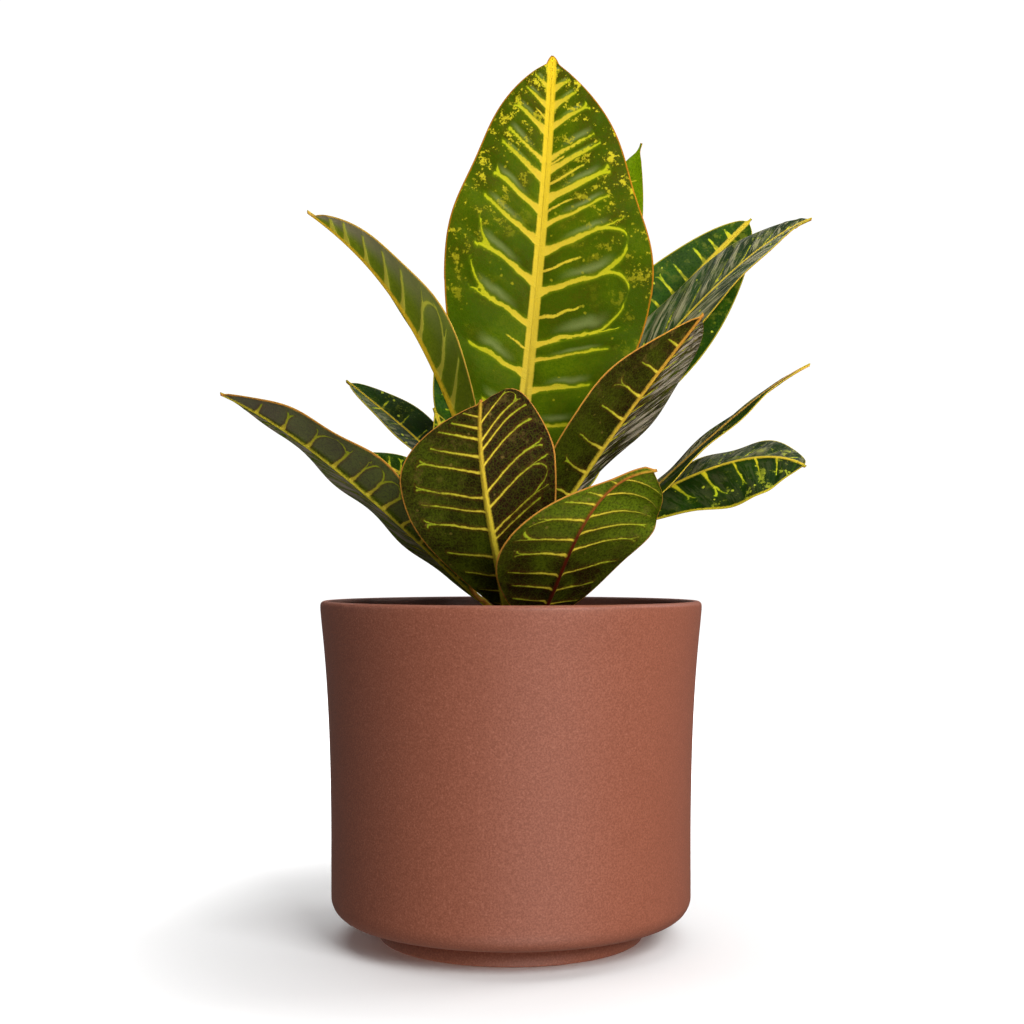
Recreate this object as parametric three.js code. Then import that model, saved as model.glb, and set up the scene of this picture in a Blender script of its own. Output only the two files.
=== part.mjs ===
import * as THREE from 'three';

// Potted croton (Codiaeum variegatum) in a matt terracotta cover pot. Millimetres, +Z up, and the
// origin at the centre of the pot's foot. The plant is seen from -Y, with +X to the right.

// Gap that neighbouring pieces keep, so that each stays a solid of its own.
const CLEARANCE = 0.3;

// The pot: a slightly flared cup on a smaller, lower foot.
const POT = {
  height: 123,
  rimRadius: 70,
  bodyRadius: 66,
  flareStart: 15.5,
  flareEnd: 119,
  flarePower: 3,
  undersideRadius: 58.5,
  footRadius: 48.5,
  footHeight: 8,
  footEase: 0.8,
  rimRounding: 1.6,
  wall: 3.6,
  floorTop: 13,
  innerCorner: 7,
  wallLevels: [35, 62, 84, 100, 111],
  cornerSteps: 4,
  roundingSteps: 3,
  segments: 56,
};

// The soil fills the pot to 13 mm below the rim, and the stem stands in a hole in it. Coarse and
// fine lumps are how long the surface's ripples are along x and y, and where they start.
const SOIL = {
  level: 109,
  mound: 1.2,
  lump: 0.55,
  coarse: { x: 5.1, y: 4.3, start: 1.1 },
  fine: { x: 2.9, y: 3.7, start: 0.6, share: 0.6 },
  rings: 6,
  segments: 28,
};

// The short main stem, nearly upright, with a faint ring at each leaf scar and a bud on top.
const STEM = {
  foot: 88,
  leanStart: 108,
  top: 170,
  lean: [-0.9, 3.6],
  radiusLow: 4.3,
  radiusHigh: 3.1,
  budLength: 10,
  scarHeight: 0.15,
  scarSpacing: 6,
  segments: 12,
  rings: 20,
};

// What every leaf shares. The columns are how far out from the midrib the blade bends, as shares of
// its half width, and waveOffset is how far the right edge's ripple runs ahead of the left one's.
const LEAF = {
  thickness: 0.9,
  stalkHalfWidth: 1.2,
  tipHalfWidth: 0.5,
  ribAtStalk: 1.25,
  ribAtTip: 0.25,
  ribHalfWidth: 1.1,
  widestRibShare: 0.3,
  waistSpread: 0.11,
  columns: [-3, -2, -1, 0, 1, 2, 3],
  middleColumn: 0.62,
  waveOffset: 1.7,
  nibWidth: 0.08,
  lobeSharpness: 4,
  sections: 13,
  smallSections: 10,
  crowding: 0.6,
};

// One leaf: height and compass give where its stalk leaves the stem, third and twoThirds are
// points on its midrib, halves are the blade's half widths left and right of the midrib (seen on
// the upper face, tip up), and faces is the way that the upper face looks, as compass and slope.
// widest is where each half is widest along the blade, and base and point are how slowly it fills
// out from the stalk and closes at the tip: under 1 is blunt, over 1 is drawn out. nib is the length
// of the pointed tip and waists are shallow bays in the two edges, as [share, depth]. fold lifts the
// halves and curl bends them further towards their edges, in degrees. wave ripples each edge, and
// lobes are how far a half of a notched tip stands beyond the midrib's end.
const LEAVES = {
  leaf_top: {
    height: 155, compass: 85, third: [5.5, 17, 201], twoThirds: [12, 22, 268.5], tip: [16, 26, 333],
    stalk: 14, halves: [36.7, 44.8], faces: [-90, 5], widest: [0.61, 0.555], base: [0.95, 0.95],
    point: [0.715, 0.815], nib: 0.02, waists: [[0.744, 4], [0.7, 4.3]],
    fold: 12, curl: -12, wave: [1.4, 1.4], waves: 3.2, phase: 0.4,
  },
  leaf_behind_top: {
    height: 149, compass: 48, third: [15, 46, 196], twoThirds: [37, 68, 261.5], tip: [55, 78, 313.5],
    stalk: 14, halves: [22, 19.5], faces: [-100, 10], widest: [0.5, 0.5], base: [1.1, 1.1],
    point: [1, 1], nib: 0.035, fold: 15, curl: 0, wave: [0.8, 0.8], waves: 3, phase: 1.2,
  },
  leaf_upper_right: {
    height: 142, compass: 30, third: [34.5, 40, 199.5], twoThirds: [65.5, 56, 242.5],
    tip: [99, 64, 278.5],
    stalk: 16, halves: [19.5, 24], faces: [-90, 8], widest: [0.4, 0.54], base: [0.75, 1.15],
    point: [0.65, 0.62], nib: 0.015, fold: 12, curl: 0, wave: [0.9, 0.9], waves: 3, phase: 2.6,
  },
  leaf_upper_right_outer: {
    height: 134, compass: 4, third: [37, 20, 193.5], twoThirds: [79.5, 27, 243.5],
    tip: [116.5, 26, 270],
    stalk: 16, halves: [22.3, 26], faces: [-148, 45], widest: [0.49, 0.58], base: [1.2, 1.3],
    point: [0.72, 1.4], nib: 0.015, fold: 10, curl: 0, wave: [0.8, 0.8], waves: 3, phase: 0,
  },
  leaf_front_of_right: {
    height: 129, compass: -40, third: [22.5, -12, 163], twoThirds: [45, -18, 195],
    tip: [68.5, -22, 225.5],
    stalk: 12, halves: [23.5, 24], faces: [143, 28], widest: [0.68, 0.5], base: [2.4, 1],
    point: [0.45, 0.85], nib: 0.02, fold: 8, curl: 0, wave: [0.7, 0.7], waves: 2.5, phase: 1.9,
  },
  leaf_right_narrow: {
    height: 126, compass: -28, third: [37.5, -15, 151], twoThirds: [76.3, -8, 185.5],
    tip: [111, 2, 210.5],
    stalk: 14, halves: [11.5, 12.5], faces: [-167, 51], widest: [0.45, 0.45], base: [1.1, 1.1],
    point: [1, 1], nib: 0.035, fold: 0, curl: 0, wave: [0.9, 0.9], waves: 3.5, phase: 0.8,
  },
  leaf_right_low: {
    height: 121, compass: 8, third: [37.5, 4, 152], twoThirds: [77.5, 2, 172.8], tip: [108, -6, 172],
    stalk: 14, halves: [14.5, 20.6], faces: [-100, 52], widest: [0.75, 0.68], base: [4.4, 2.4],
    point: [0.55, 0.57], nib: 0.015, fold: -12, curl: 0, wave: [1.6, 0.8], waves: 3.6, phase: 1.87,
  },
  leaf_upper_left: {
    height: 148, compass: 186, third: [-23.5, -5, 198.5], twoThirds: [-44.5, -7, 236.3],
    tip: [-74.5, -8, 265],
    stalk: 16, halves: [21.5, 21], faces: [21, 43], widest: [0.4, 0.35], base: [1, 1.15],
    point: [0.63, 1.2], nib: 0.03, fold: 16, curl: 0, wave: [0.8, 0.8], waves: 2.5, phase: 0.5,
  },
  leaf_left_small: {
    height: 134, compass: 163, third: [-21, 20, 166.5], twoThirds: [-40, 28, 187.5],
    tip: [-64.5, 32, 208],
    stalk: 12, halves: [10.5, 12.5], faces: [-53, 40], widest: [0.62, 0.62], base: [1.1, 1.1],
    point: [0.6, 0.6], nib: 0.02, fold: 15, curl: 0, wave: [0.4, 0.4], waves: 2.5, phase: 1.4,
  },
  leaf_left_long: {
    height: 117, compass: 192, third: [-31.5, -14, 143.5], twoThirds: [-66.5, -20, 174],
    tip: [-103.5, -22, 197],
    stalk: 12, halves: [20, 15.5], faces: [70, 67], widest: [0.5, 0.5], base: [1.6, 0.7],
    point: [0.82, 0.96], nib: 0.015, fold: 9, curl: 0, wave: [1.1, 1.1], waves: 3.5, phase: 2.9,
  },
  leaf_front_left: {
    height: 116, compass: -112, third: [-3.5, -27, 131], twoThirds: [-8.8, -39, 161],
    tip: [-10.2, -45, 192.3],
    stalk: 3, halves: [25.3, 30], faces: [85, 20], widest: [0.78, 0.72], base: [1, 1.75],
    point: [0.36, 0.95], nib: 0.02, lobes: [8.5, 0],
    fold: 10, curl: -8, wave: [0.7, 0.7], waves: 2.5, phase: 0.3,
  },
  leaf_front_right: {
    height: 114.5, compass: -58, third: [13.5, -31, 125], twoThirds: [25.5, -49, 152],
    tip: [48.5, -57, 167.5],
    stalk: 8, halves: [27, 24], faces: [110, 30], widest: [0.7, 0.45], base: [1.25, 1.6],
    point: [0.32, 3], nib: 0.02, lobes: [4, 0], fold: 8, curl: -8, wave: [0.7, 0.7], waves: 2.5, phase: 1.1,
  },
  leaf_left_inner: {
    height: 146, compass: 138, third: [-10.5, 20, 178], twoThirds: [-18.5, 29, 206],
    tip: [-28, 34, 233],
    stalk: 10, halves: [14.5, 12], faces: [-80, 15], widest: [0.5, 0.5], base: [1.1, 1.1],
    point: [1, 1], nib: 0.035, fold: 10, curl: 0, wave: [0.5, 0.5], waves: 3, phase: 0.7,
  },
  leaf_left_young: {
    height: 130, compass: -140, third: [-13.5, -13, 156], twoThirds: [-21.5, -19, 175.5],
    tip: [-27.5, -22, 192],
    stalk: 8, halves: [9, 9], faces: [-70, 20], widest: [0.5, 0.5], base: [1.1, 1.1],
    point: [1, 1], nib: 0.035, fold: 15, curl: 0, wave: [0.3, 0.3], waves: 2, phase: 0, small: true,
  },
  leaf_left_hidden: {
    height: 122, compass: 172, third: [-20.5, -4, 152.5], twoThirds: [-40, -5, 169],
    tip: [-59.5, -6, 178],
    stalk: 12, halves: [11, 11], faces: [-60, 50], widest: [0.5, 0.5], base: [1.1, 1.1],
    point: [1, 1], nib: 0.035, fold: 10, curl: 0, wave: [0.4, 0.4], waves: 2.5, phase: 1.5, small: true,
  },
  leaf_rear_high: {
    height: 139, compass: 100, third: [-10, 44, 180], twoThirds: [-8, 78, 218], tip: [-2, 108, 238],
    stalk: 16, halves: [22, 22], faces: [-90, 35], widest: [0.5, 0.5], base: [1.1, 1.1],
    point: [1, 1], nib: 0.035, fold: 12, curl: -6, wave: [0.9, 0.9], waves: 3, phase: 2,
  },
  leaf_rear_middle: {
    height: 130, compass: 72, third: [9, 40, 156], twoThirds: [18, 74, 182], tip: [27, 104, 192],
    stalk: 16, halves: [23, 23], faces: [-100, 60], widest: [0.52, 0.52], base: [1.1, 1.1],
    point: [0.9, 0.9], nib: 0.035, fold: 12, curl: -8, wave: [0.9, 0.9], waves: 3, phase: 0.9,
  },
  leaf_rear_left: {
    height: 119, compass: 118, third: [-14, 36, 138], twoThirds: [-21, 68, 160],
    tip: [-25, 98, 170],
    stalk: 12, halves: [20, 20], faces: [-70, 65], widest: [0.55, 0.55], base: [1.1, 1.1],
    point: [0.8, 0.8], nib: 0.035, fold: 10, curl: -6, wave: [0.8, 0.8], waves: 3, phase: 1.7,
  },
  leaf_rear_right: {
    height: 114, compass: 45, third: [18, 26, 130], twoThirds: [32, 52, 150], tip: [42, 80, 160],
    stalk: 12, halves: [20, 20], faces: [-130, 60], widest: [0.55, 0.55], base: [1.1, 1.1],
    point: [0.8, 0.8], nib: 0.035, fold: 10, curl: -6, wave: [0.8, 0.8], waves: 3, phase: 2.4,
  },
};

// Colours of the pieces, with the finish of each surface.
const COLOURS = {
  pot: { color: 0x9e6450, roughness: 0.72 },
  soil: { color: 0x3a2a20, roughness: 0.95 },
  stem: { color: 0x5d5a35, roughness: 0.7 },
  brightLeaf: { color: 0x4f8f1e, roughness: 0.38 },
  darkLeaf: { color: 0x1f4420, roughness: 0.35 },
  brownLeaf: { color: 0x4a3a1c, roughness: 0.5 },
  oliveLeaf: { color: 0x5c6a24, roughness: 0.5 },
};

const LEAF_COLOURS = {
  brightLeaf: ['leaf_top', 'leaf_behind_top', 'leaf_rear_high'],
  brownLeaf: ['leaf_front_left', 'leaf_front_right', 'leaf_front_of_right', 'leaf_left_long'],
  oliveLeaf: ['leaf_upper_left', 'leaf_right_narrow'],
};

const UP = new THREE.Vector3(0, 0, 1);
const QUARTER_TURN = Math.PI / 2;

// Centre of the rounded corner between the pot's wall and its floor, as [radius, height].
const FLOOR_CORNER = [POT.bodyRadius - POT.wall - POT.innerCorner, POT.floorTop + POT.innerCorner];

const { degToRad, lerp, clamp } = THREE.MathUtils;

function surface(name) {
  return new THREE.MeshStandardMaterial({ ...COLOURS[name], metalness: 0, side: THREE.DoubleSide });
}

function namedMesh(name, geometry, material) {
  const mesh = new THREE.Mesh(geometry, material);
  mesh.name = name;
  return mesh;
}

// A lathe profile of [radius, height] pairs, turned about the upright axis.
function turned(profile, segments) {
  const geometry = new THREE.LatheGeometry(profile.map(([r, z]) => new THREE.Vector2(r, z)), segments);
  geometry.rotateX(QUARTER_TURN);
  return geometry;
}

// Points of a quarter-turn or shorter arc in the [radius, height] plane, ends included.
function arc(centre, radius, fromDegrees, toDegrees, steps) {
  const points = [];
  for (let i = 0; i <= steps; i += 1) {
    const angle = degToRad(lerp(fromDegrees, toDegrees, i / steps));
    points.push([centre[0] + radius * Math.cos(angle), centre[1] + radius * Math.sin(angle)]);
  }
  return points;
}

function direction(compassDegrees, slopeDegrees) {
  const compass = degToRad(compassDegrees);
  const slope = degToRad(slopeDegrees);
  const level = Math.cos(slope);
  return new THREE.Vector3(Math.cos(compass) * level, Math.sin(compass) * level, Math.sin(slope));
}

// The pot
function potOuterRadius(z) {
  const share = clamp((z - POT.flareStart) / (POT.flareEnd - POT.flareStart), 0, 1);
  return POT.bodyRadius + (POT.rimRadius - POT.bodyRadius) * share ** POT.flarePower;
}

function potInnerRadius(z) {
  return potOuterRadius(z) - POT.wall;
}

function potGeometry() {
  const cornerRadius = POT.bodyRadius - POT.undersideRadius;
  const cornerCentre = [POT.undersideRadius, POT.footHeight + cornerRadius];
  const rimCentre = POT.height - POT.rimRounding;
  const outerRimCentre = [POT.rimRadius - POT.rimRounding, rimCentre];
  const innerRimCentre = [POT.rimRadius - POT.wall + POT.rimRounding, rimCentre];
  const profile = [
    [0, 0],
    [POT.footRadius - POT.footEase, 0],
    [POT.footRadius, POT.footEase],
    [POT.footRadius, POT.footHeight],
    ...arc(cornerCentre, cornerRadius, -90, 0, POT.cornerSteps),
    ...POT.wallLevels.map((z) => [potOuterRadius(z), z]),
    ...arc(outerRimCentre, POT.rimRounding, 0, 90, POT.roundingSteps),
    ...arc(innerRimCentre, POT.rimRounding, 90, 180, POT.roundingSteps),
    ...POT.wallLevels.toReversed().map((z) => [potInnerRadius(z), z]),
    ...arc(FLOOR_CORNER, POT.innerCorner, 0, -90, POT.roundingSteps),
    [0, POT.floorTop],
  ];
  return turned(profile, POT.segments);
}

// The stem
function stemCentre(z) {
  const share = Math.max(0, (z - STEM.leanStart) / (STEM.top - STEM.leanStart));
  return new THREE.Vector3(STEM.lean[0] * share, STEM.lean[1] * share, z);
}

function stemRadius(z) {
  const taper = lerp(STEM.radiusLow, STEM.radiusHigh, (z - STEM.foot) / (STEM.top - STEM.foot));
  const scar = z > STEM.leanStart ? STEM.scarHeight * Math.cos((2 * Math.PI * z) / STEM.scarSpacing) : 0;
  const bud = Math.sqrt(clamp((STEM.top - z) / STEM.budLength, 0, 1));
  return (taper + scar) * bud;
}

function stemGeometry() {
  const profile = [[0, STEM.foot]];
  for (let i = 0; i < STEM.rings; i += 1) {
    const z = lerp(STEM.foot, STEM.top, i / STEM.rings);
    profile.push([stemRadius(z), z]);
  }
  profile.push([0, STEM.top]);
  const geometry = turned(profile, STEM.segments);
  const position = geometry.attributes.position;
  for (let i = 0; i < position.count; i += 1) {
    const centre = stemCentre(position.getZ(i));
    position.setX(i, position.getX(i) + centre.x);
    position.setY(i, position.getY(i) + centre.y);
  }
  return geometry;
}

// The soil
function soilSurface(x, y) {
  const { coarse, fine } = SOIL;
  const coarseLumps = Math.sin(x / coarse.x + coarse.start) * Math.cos(y / coarse.y);
  const fineLumps = fine.share * Math.sin(x / fine.x + y / fine.y + fine.start);
  const mound = Math.cos(QUARTER_TURN * Math.min(1, Math.hypot(x, y) / POT.bodyRadius));
  return SOIL.level + SOIL.mound * mound + SOIL.lump * (coarseLumps + fineLumps);
}

function soilGeometry() {
  const bottom = POT.floorTop + CLEARANCE;
  const holeRadius = STEM.radiusLow + CLEARANCE;
  const holeFloor = STEM.foot - CLEARANCE;
  const edge = potInnerRadius(SOIL.level) - CLEARANCE;
  const topRadii = [];
  for (let i = 0; i <= SOIL.rings; i += 1) topRadii.push(lerp(holeRadius, edge, i / SOIL.rings));
  const wallLevels = POT.wallLevels.filter((z) => z < SOIL.level);
  const profile = [
    [0, bottom],
    ...arc(FLOOR_CORNER, POT.innerCorner - CLEARANCE, -90, 0, POT.roundingSteps),
    ...wallLevels.map((z) => [potInnerRadius(z) - CLEARANCE, z]),
    ...topRadii.toReversed().map((r) => [r, SOIL.level]),
    [holeRadius, holeFloor],
    [0, holeFloor],
  ];
  const geometry = turned(profile, SOIL.segments);
  const position = geometry.attributes.position;
  for (let i = 0; i < position.count; i += 1) {
    const onTop = Math.abs(position.getZ(i) - SOIL.level) < CLEARANCE;
    if (onTop) position.setZ(i, soilSurface(position.getX(i), position.getY(i)));
  }
  return geometry;
}

// A leaf
function midribCurve(leaf) {
  const reach = stemRadius(leaf.height) + STEM.scarHeight + CLEARANCE;
  const root = stemCentre(leaf.height).addScaledVector(direction(leaf.compass, 0), reach);
  const third = new THREE.Vector3(...leaf.third);
  const twoThirds = new THREE.Vector3(...leaf.twoThirds);
  const tip = new THREE.Vector3(...leaf.tip);
  // Handles of the cubic that passes through all four points
  const lower = new THREE.Vector3().addScaledVector(root, -5 / 6).addScaledVector(third, 3);
  lower.addScaledVector(twoThirds, -1.5).addScaledVector(tip, 1 / 3);
  const upper = new THREE.Vector3().addScaledVector(root, 1 / 3).addScaledVector(third, -1.5);
  upper.addScaledVector(twoThirds, 3).addScaledVector(tip, -5 / 6);
  return new THREE.CubicBezierCurve3(root, lower, upper, tip);
}

// Half width of one side of the blade at a share of its length, 0 at the stalk and 1 at the tip.
function halfWidth(leaf, side, share) {
  const widest = leaf.widest[side];
  const along = clamp(share / (1 - leaf.nib), 0, 1);
  const rise = Math.sin(QUARTER_TURN * Math.min(1, along / widest));
  const close = Math.cos(QUARTER_TURN * Math.max(0, (along - widest) / (1 - widest)));
  const body = along < widest ? rise ** leaf.base[side] : close ** leaf.point[side];
  const nib = share > 0.5 ? LEAF.nibWidth * clamp((1 - share) / (2 * leaf.nib), 0, 1) : 0;
  const [waistShare, waistDepth] = leaf.waists?.[side] ?? [0, 0];
  const waist = waistDepth * Math.exp(-(((share - waistShare) / LEAF.waistSpread) ** 2));
  return leaf.halves[side] * Math.hypot(body, nib) - waist;
}

// Where the point at a share of one half lies across the blade, as [sideways, lifted].
function across(width, share, fold, curl) {
  if (curl === 0) return [width * share * Math.cos(fold), width * share * Math.sin(fold)];
  const bend = width / curl;
  const sideways = bend * (Math.sin(fold + curl * share) - Math.sin(fold));
  const lifted = bend * (Math.cos(fold) - Math.cos(fold + curl * share));
  return [sideways, lifted];
}

// Shares of the midrib's length at which the leaf has a section, closer together at both ends.
function sectionShares(stalkShare, count) {
  const shares = [0, stalkShare / 2];
  for (let i = 0; i <= count; i += 1) {
    const even = i / count;
    const eased = (1 - Math.cos(Math.PI * even)) / 2;
    shares.push(lerp(stalkShare, 1, lerp(even, eased, LEAF.crowding)));
  }
  return shares;
}

function leafGeometry(leaf) {
  const curve = midribCurve(leaf);
  const length = curve.getLength();
  const stalkShare = leaf.stalk / length;
  const shares = sectionShares(stalkShare, leaf.small ? LEAF.smallSections : LEAF.sections);
  const fold = degToRad(leaf.fold);
  const curl = degToRad(leaf.curl);
  const awayFromStem = direction(leaf.compass, 0);
  const face = direction(...leaf.faces);
  const upperRows = [];
  const lowerRows = [];
  for (const share of shares) {
    // The root section stands upright against the stem, and the others square to the midrib
    const atRoot = share === 0;
    const centre = curve.getPoint(share);
    const along = atRoot ? awayFromStem : curve.getTangent(share);
    const facing = atRoot ? UP : face;
    const normal = facing.clone().addScaledVector(along, -along.dot(facing)).normalize();
    const sideways = new THREE.Vector3().crossVectors(along, normal);
    const bladeShare = clamp((share - stalkShare) / (1 - stalkShare), 0, 1);
    const narrowest = share <= stalkShare ? LEAF.stalkHalfWidth : LEAF.tipHalfWidth;
    const widths = [0, 1].map((side) => Math.max(halfWidth(leaf, side, bladeShare), narrowest));
    const rib = lerp(LEAF.ribAtStalk, LEAF.ribAtTip, bladeShare);
    const upper = [];
    const lower = [];
    for (const column of LEAF.columns) {
      const side = column < 0 ? 0 : 1;
      const width = widths[side];
      const ribShare = Math.min(LEAF.widestRibShare, LEAF.ribHalfWidth / width);
      const out = [0, ribShare, LEAF.middleColumn, 1][Math.abs(column)];
      const [offset, lift] = across(width, out, fold, curl);
      const start = leaf.phase + side * LEAF.waveOffset;
      const ripple = Math.sin(2 * Math.PI * leaf.waves * bladeShare + start);
      const wave = leaf.wave[side] * out * out * ripple * Math.min(1, width / leaf.halves[side]);
      const outward = Math.min(1, (out * width) / leaf.halves[side]);
      const lobeHeight = (leaf.lobes?.[side] ?? 0) * bladeShare ** LEAF.lobeSharpness;
      const lobe = lobeHeight * Math.sin(Math.PI * outward);
      const point = centre.clone().addScaledVector(sideways, Math.sign(column) * offset);
      point.addScaledVector(normal, lift + wave).addScaledVector(along, lobe);
      const ribDepth = column === 0 ? rib : 0;
      upper.push(point.clone().addScaledVector(normal, LEAF.thickness / 2));
      lower.push(point.clone().addScaledVector(normal, -LEAF.thickness / 2 - ribDepth));
    }
    upperRows.push(upper);
    lowerRows.push(lower);
  }
  return slabGeometry(upperRows, lowerRows);
}

// A thin closed body between two grids of points that match one to one, split alike on both faces.
function slabGeometry(upperRows, lowerRows) {
  const rows = upperRows.length;
  const columns = upperRows[0].length;
  const points = [...upperRows.flat(), ...lowerRows.flat()];
  const upper = (row, column) => row * columns + column;
  const lower = (row, column) => rows * columns + row * columns + column;
  const index = [];
  for (let r = 0; r < rows - 1; r += 1) {
    for (let c = 0; c < columns - 1; c += 1) {
      index.push(upper(r, c), upper(r + 1, c + 1), upper(r + 1, c));
      index.push(upper(r, c), upper(r, c + 1), upper(r + 1, c + 1));
      index.push(lower(r, c), lower(r + 1, c), lower(r + 1, c + 1));
      index.push(lower(r, c), lower(r + 1, c + 1), lower(r, c + 1));
    }
    const last = columns - 1;
    index.push(upper(r, 0), upper(r + 1, 0), lower(r + 1, 0));
    index.push(upper(r, 0), lower(r + 1, 0), lower(r, 0));
    index.push(upper(r, last), lower(r + 1, last), upper(r + 1, last));
    index.push(upper(r, last), lower(r, last), lower(r + 1, last));
  }
  for (let c = 0; c < columns - 1; c += 1) {
    const end = rows - 1;
    index.push(upper(0, c), lower(0, c), lower(0, c + 1));
    index.push(upper(0, c), lower(0, c + 1), upper(0, c + 1));
    index.push(upper(end, c), lower(end, c + 1), lower(end, c));
    index.push(upper(end, c), upper(end, c + 1), lower(end, c + 1));
  }
  const geometry = new THREE.BufferGeometry().setFromPoints(points);
  geometry.setIndex(index);
  geometry.computeVertexNormals();
  return geometry;
}

function leafColour(name) {
  const listed = Object.keys(LEAF_COLOURS).find((colour) => LEAF_COLOURS[colour].includes(name));
  return listed ?? 'darkLeaf';
}

const croton = new THREE.Group();
croton.add(namedMesh('pot', potGeometry(), surface('pot')));
croton.add(namedMesh('soil', soilGeometry(), surface('soil')));
croton.add(namedMesh('stem', stemGeometry(), surface('stem')));
for (const [name, leaf] of Object.entries(LEAVES)) {
  croton.add(namedMesh(name, leafGeometry(leaf), surface(leafColour(name))));
}

export default croton;
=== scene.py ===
import math

import bpy
import numpy as np
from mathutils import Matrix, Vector


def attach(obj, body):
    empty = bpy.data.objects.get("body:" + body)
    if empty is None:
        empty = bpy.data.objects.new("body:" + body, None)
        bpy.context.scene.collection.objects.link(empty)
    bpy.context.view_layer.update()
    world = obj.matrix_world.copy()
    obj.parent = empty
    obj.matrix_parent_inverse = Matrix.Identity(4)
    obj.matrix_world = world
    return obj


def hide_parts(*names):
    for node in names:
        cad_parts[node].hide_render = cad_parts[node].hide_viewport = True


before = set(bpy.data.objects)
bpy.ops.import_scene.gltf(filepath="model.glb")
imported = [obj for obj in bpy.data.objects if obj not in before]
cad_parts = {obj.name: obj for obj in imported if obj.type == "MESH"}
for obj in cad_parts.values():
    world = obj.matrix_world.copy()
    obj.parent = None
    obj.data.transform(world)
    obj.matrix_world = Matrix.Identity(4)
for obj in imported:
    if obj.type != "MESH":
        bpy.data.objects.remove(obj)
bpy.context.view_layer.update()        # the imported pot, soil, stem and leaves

print("frame loaded:", len(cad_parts), "nodes")

mm = 0.001  # the numbers below are millimetres, as in the frame's own drawing, unless a note says otherwise
clearance = 0.3  # gap between neighbouring solids of the frame


# Shader helpers

class Amount:  # a number that changes over a surface; its operators add the Math nodes
    def __init__(self, finish, socket):
        self.finish = finish
        self.socket = socket

    def maths(self, operation, *others):
        return self.finish.maths(operation, self, *others)

    def __add__(self, other):
        return self.maths("ADD", other)

    def __sub__(self, other):
        return self.maths("SUBTRACT", other)

    def __mul__(self, other):
        return self.maths("MULTIPLY", other)

    def __truediv__(self, other):
        return self.maths("DIVIDE", other)

    def __pow__(self, other):
        return self.maths("POWER", other)

    def __rsub__(self, other):
        return self.finish.maths("SUBTRACT", other, self)

    __radd__ = __add__
    __rmul__ = __mul__

    def magnitude(self):
        return self.maths("ABSOLUTE")

    def fraction(self):
        return self.maths("FRACT")

    def held(self):  # kept between 0 and 1
        return self.finish.node("ShaderNodeClamp", values={0: self})


class Finish:  # one material, with its nodes
    def __init__(self, name, fixed):
        self.material = bpy.data.materials.new(name)
        self.material.use_nodes = True
        self.tree = self.material.node_tree
        self.shader = self.tree.nodes["Principled BSDF"]
        for socket, value in fixed.items():
            self.shader.inputs[socket].default_value = value
        self.place = self.node("ShaderNodeTexCoord", output="Object")

    def node(self, kind, settings=None, values=None, output=0):
        added = self.tree.nodes.new(kind)
        for key, value in (settings or {}).items():
            setattr(added, key, value)
        for key, value in (values or {}).items():
            if isinstance(value, Amount):
                self.tree.links.new(value.socket, added.inputs[key])
            else:
                added.inputs[key].default_value = value
        return Amount(self, added.outputs[output])

    def maths(self, operation, *terms):
        return self.node("ShaderNodeMath", {"operation": operation}, dict(enumerate(terms)))

    def rise(self, value, low, high):  # smooth step from 0 at low to 1 at high
        return self.node("ShaderNodeMapRange", {"interpolation_type": "SMOOTHSTEP"},
                         {"Value": value, "From Min": low, "From Max": high})

    def fall(self, value, low, high):  # and from 1 at low to 0 at high
        return 1 - self.rise(value, low, high)

    def noise(self, size, detail=2.0, rough=0.5):  # size in mm of its larger spots
        return self.node("ShaderNodeTexNoise", values={"Vector": self.place, "Scale": 1 / (size * mm),
                                                       "Detail": detail, "Roughness": rough})

    def cells(self, size, feature="F1"):  # how far it is to the middle, or edge, of a cell of this size in mm
        return self.node("ShaderNodeTexVoronoi", {"feature": feature}, {"Vector": self.place, "Scale": 1 / (size * mm)})

    def field(self, name):  # the three numbers that a leaf's mesh carries under this name
        vector = self.node("ShaderNodeAttribute", {"attribute_name": name}, output="Vector")
        split = self.node("ShaderNodeSeparateXYZ", values={0: vector})
        return [Amount(self, socket) for socket in split.socket.node.outputs]

    def blend(self, share, first, second):
        return self.node("ShaderNodeMix", {"data_type": "RGBA"}, {0: share, 6: first, 7: second}, 2)

    def bump(self, height):  # height in mm
        return self.node("ShaderNodeBump", values={"Height": height, "Distance": mm})

    def feed(self, **links):
        sockets = {"colour": "Base Color", "rough": "Roughness", "normal": "Normal", "glow": "Emission Color"}
        for name, value in links.items():
            self.tree.links.new(value.socket, self.shader.inputs[sockets[name]])
        return self.material


def shade(red, green, blue):  # a colour from its screen values, 0 to 255
    linear = [c / 255 / 12.92 if c < 10.3 else ((c / 255 + 0.055) / 1.055) ** 2.4 for c in (red, green, blue)]
    return (*linear, 1.0)


# Mesh helpers

def meshObject(name, points, faces, materials, faceMaterials=None, fields=None):
    mesh = bpy.data.meshes.new(name)
    mesh.from_pydata((np.asarray(points) * mm).tolist(), [], faces)
    for material in materials:
        mesh.materials.append(material)
    mesh.polygons.foreach_set("use_smooth", [True] * len(faces))
    if faceMaterials is not None:
        mesh.polygons.foreach_set("material_index", np.asarray(faceMaterials, dtype=np.int32))
    for field, values in (fields or {}).items():
        mesh.attributes.new(field, "FLOAT_VECTOR", "POINT").data.foreach_set("vector", np.asarray(values).ravel())
    mesh.update()
    made = bpy.data.objects.new(name, mesh)
    bpy.context.scene.collection.objects.link(made)
    return made


def standsFor(made, *nodes, slot):
    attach(made, "root")
    if nodes:
        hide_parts(*nodes)


def strip(first, second, count):  # quads between two rings of points that start at these numbers
    return [(first + k, second + k, second + (k + 1) % count, first + (k + 1) % count) for k in range(count)]


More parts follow.
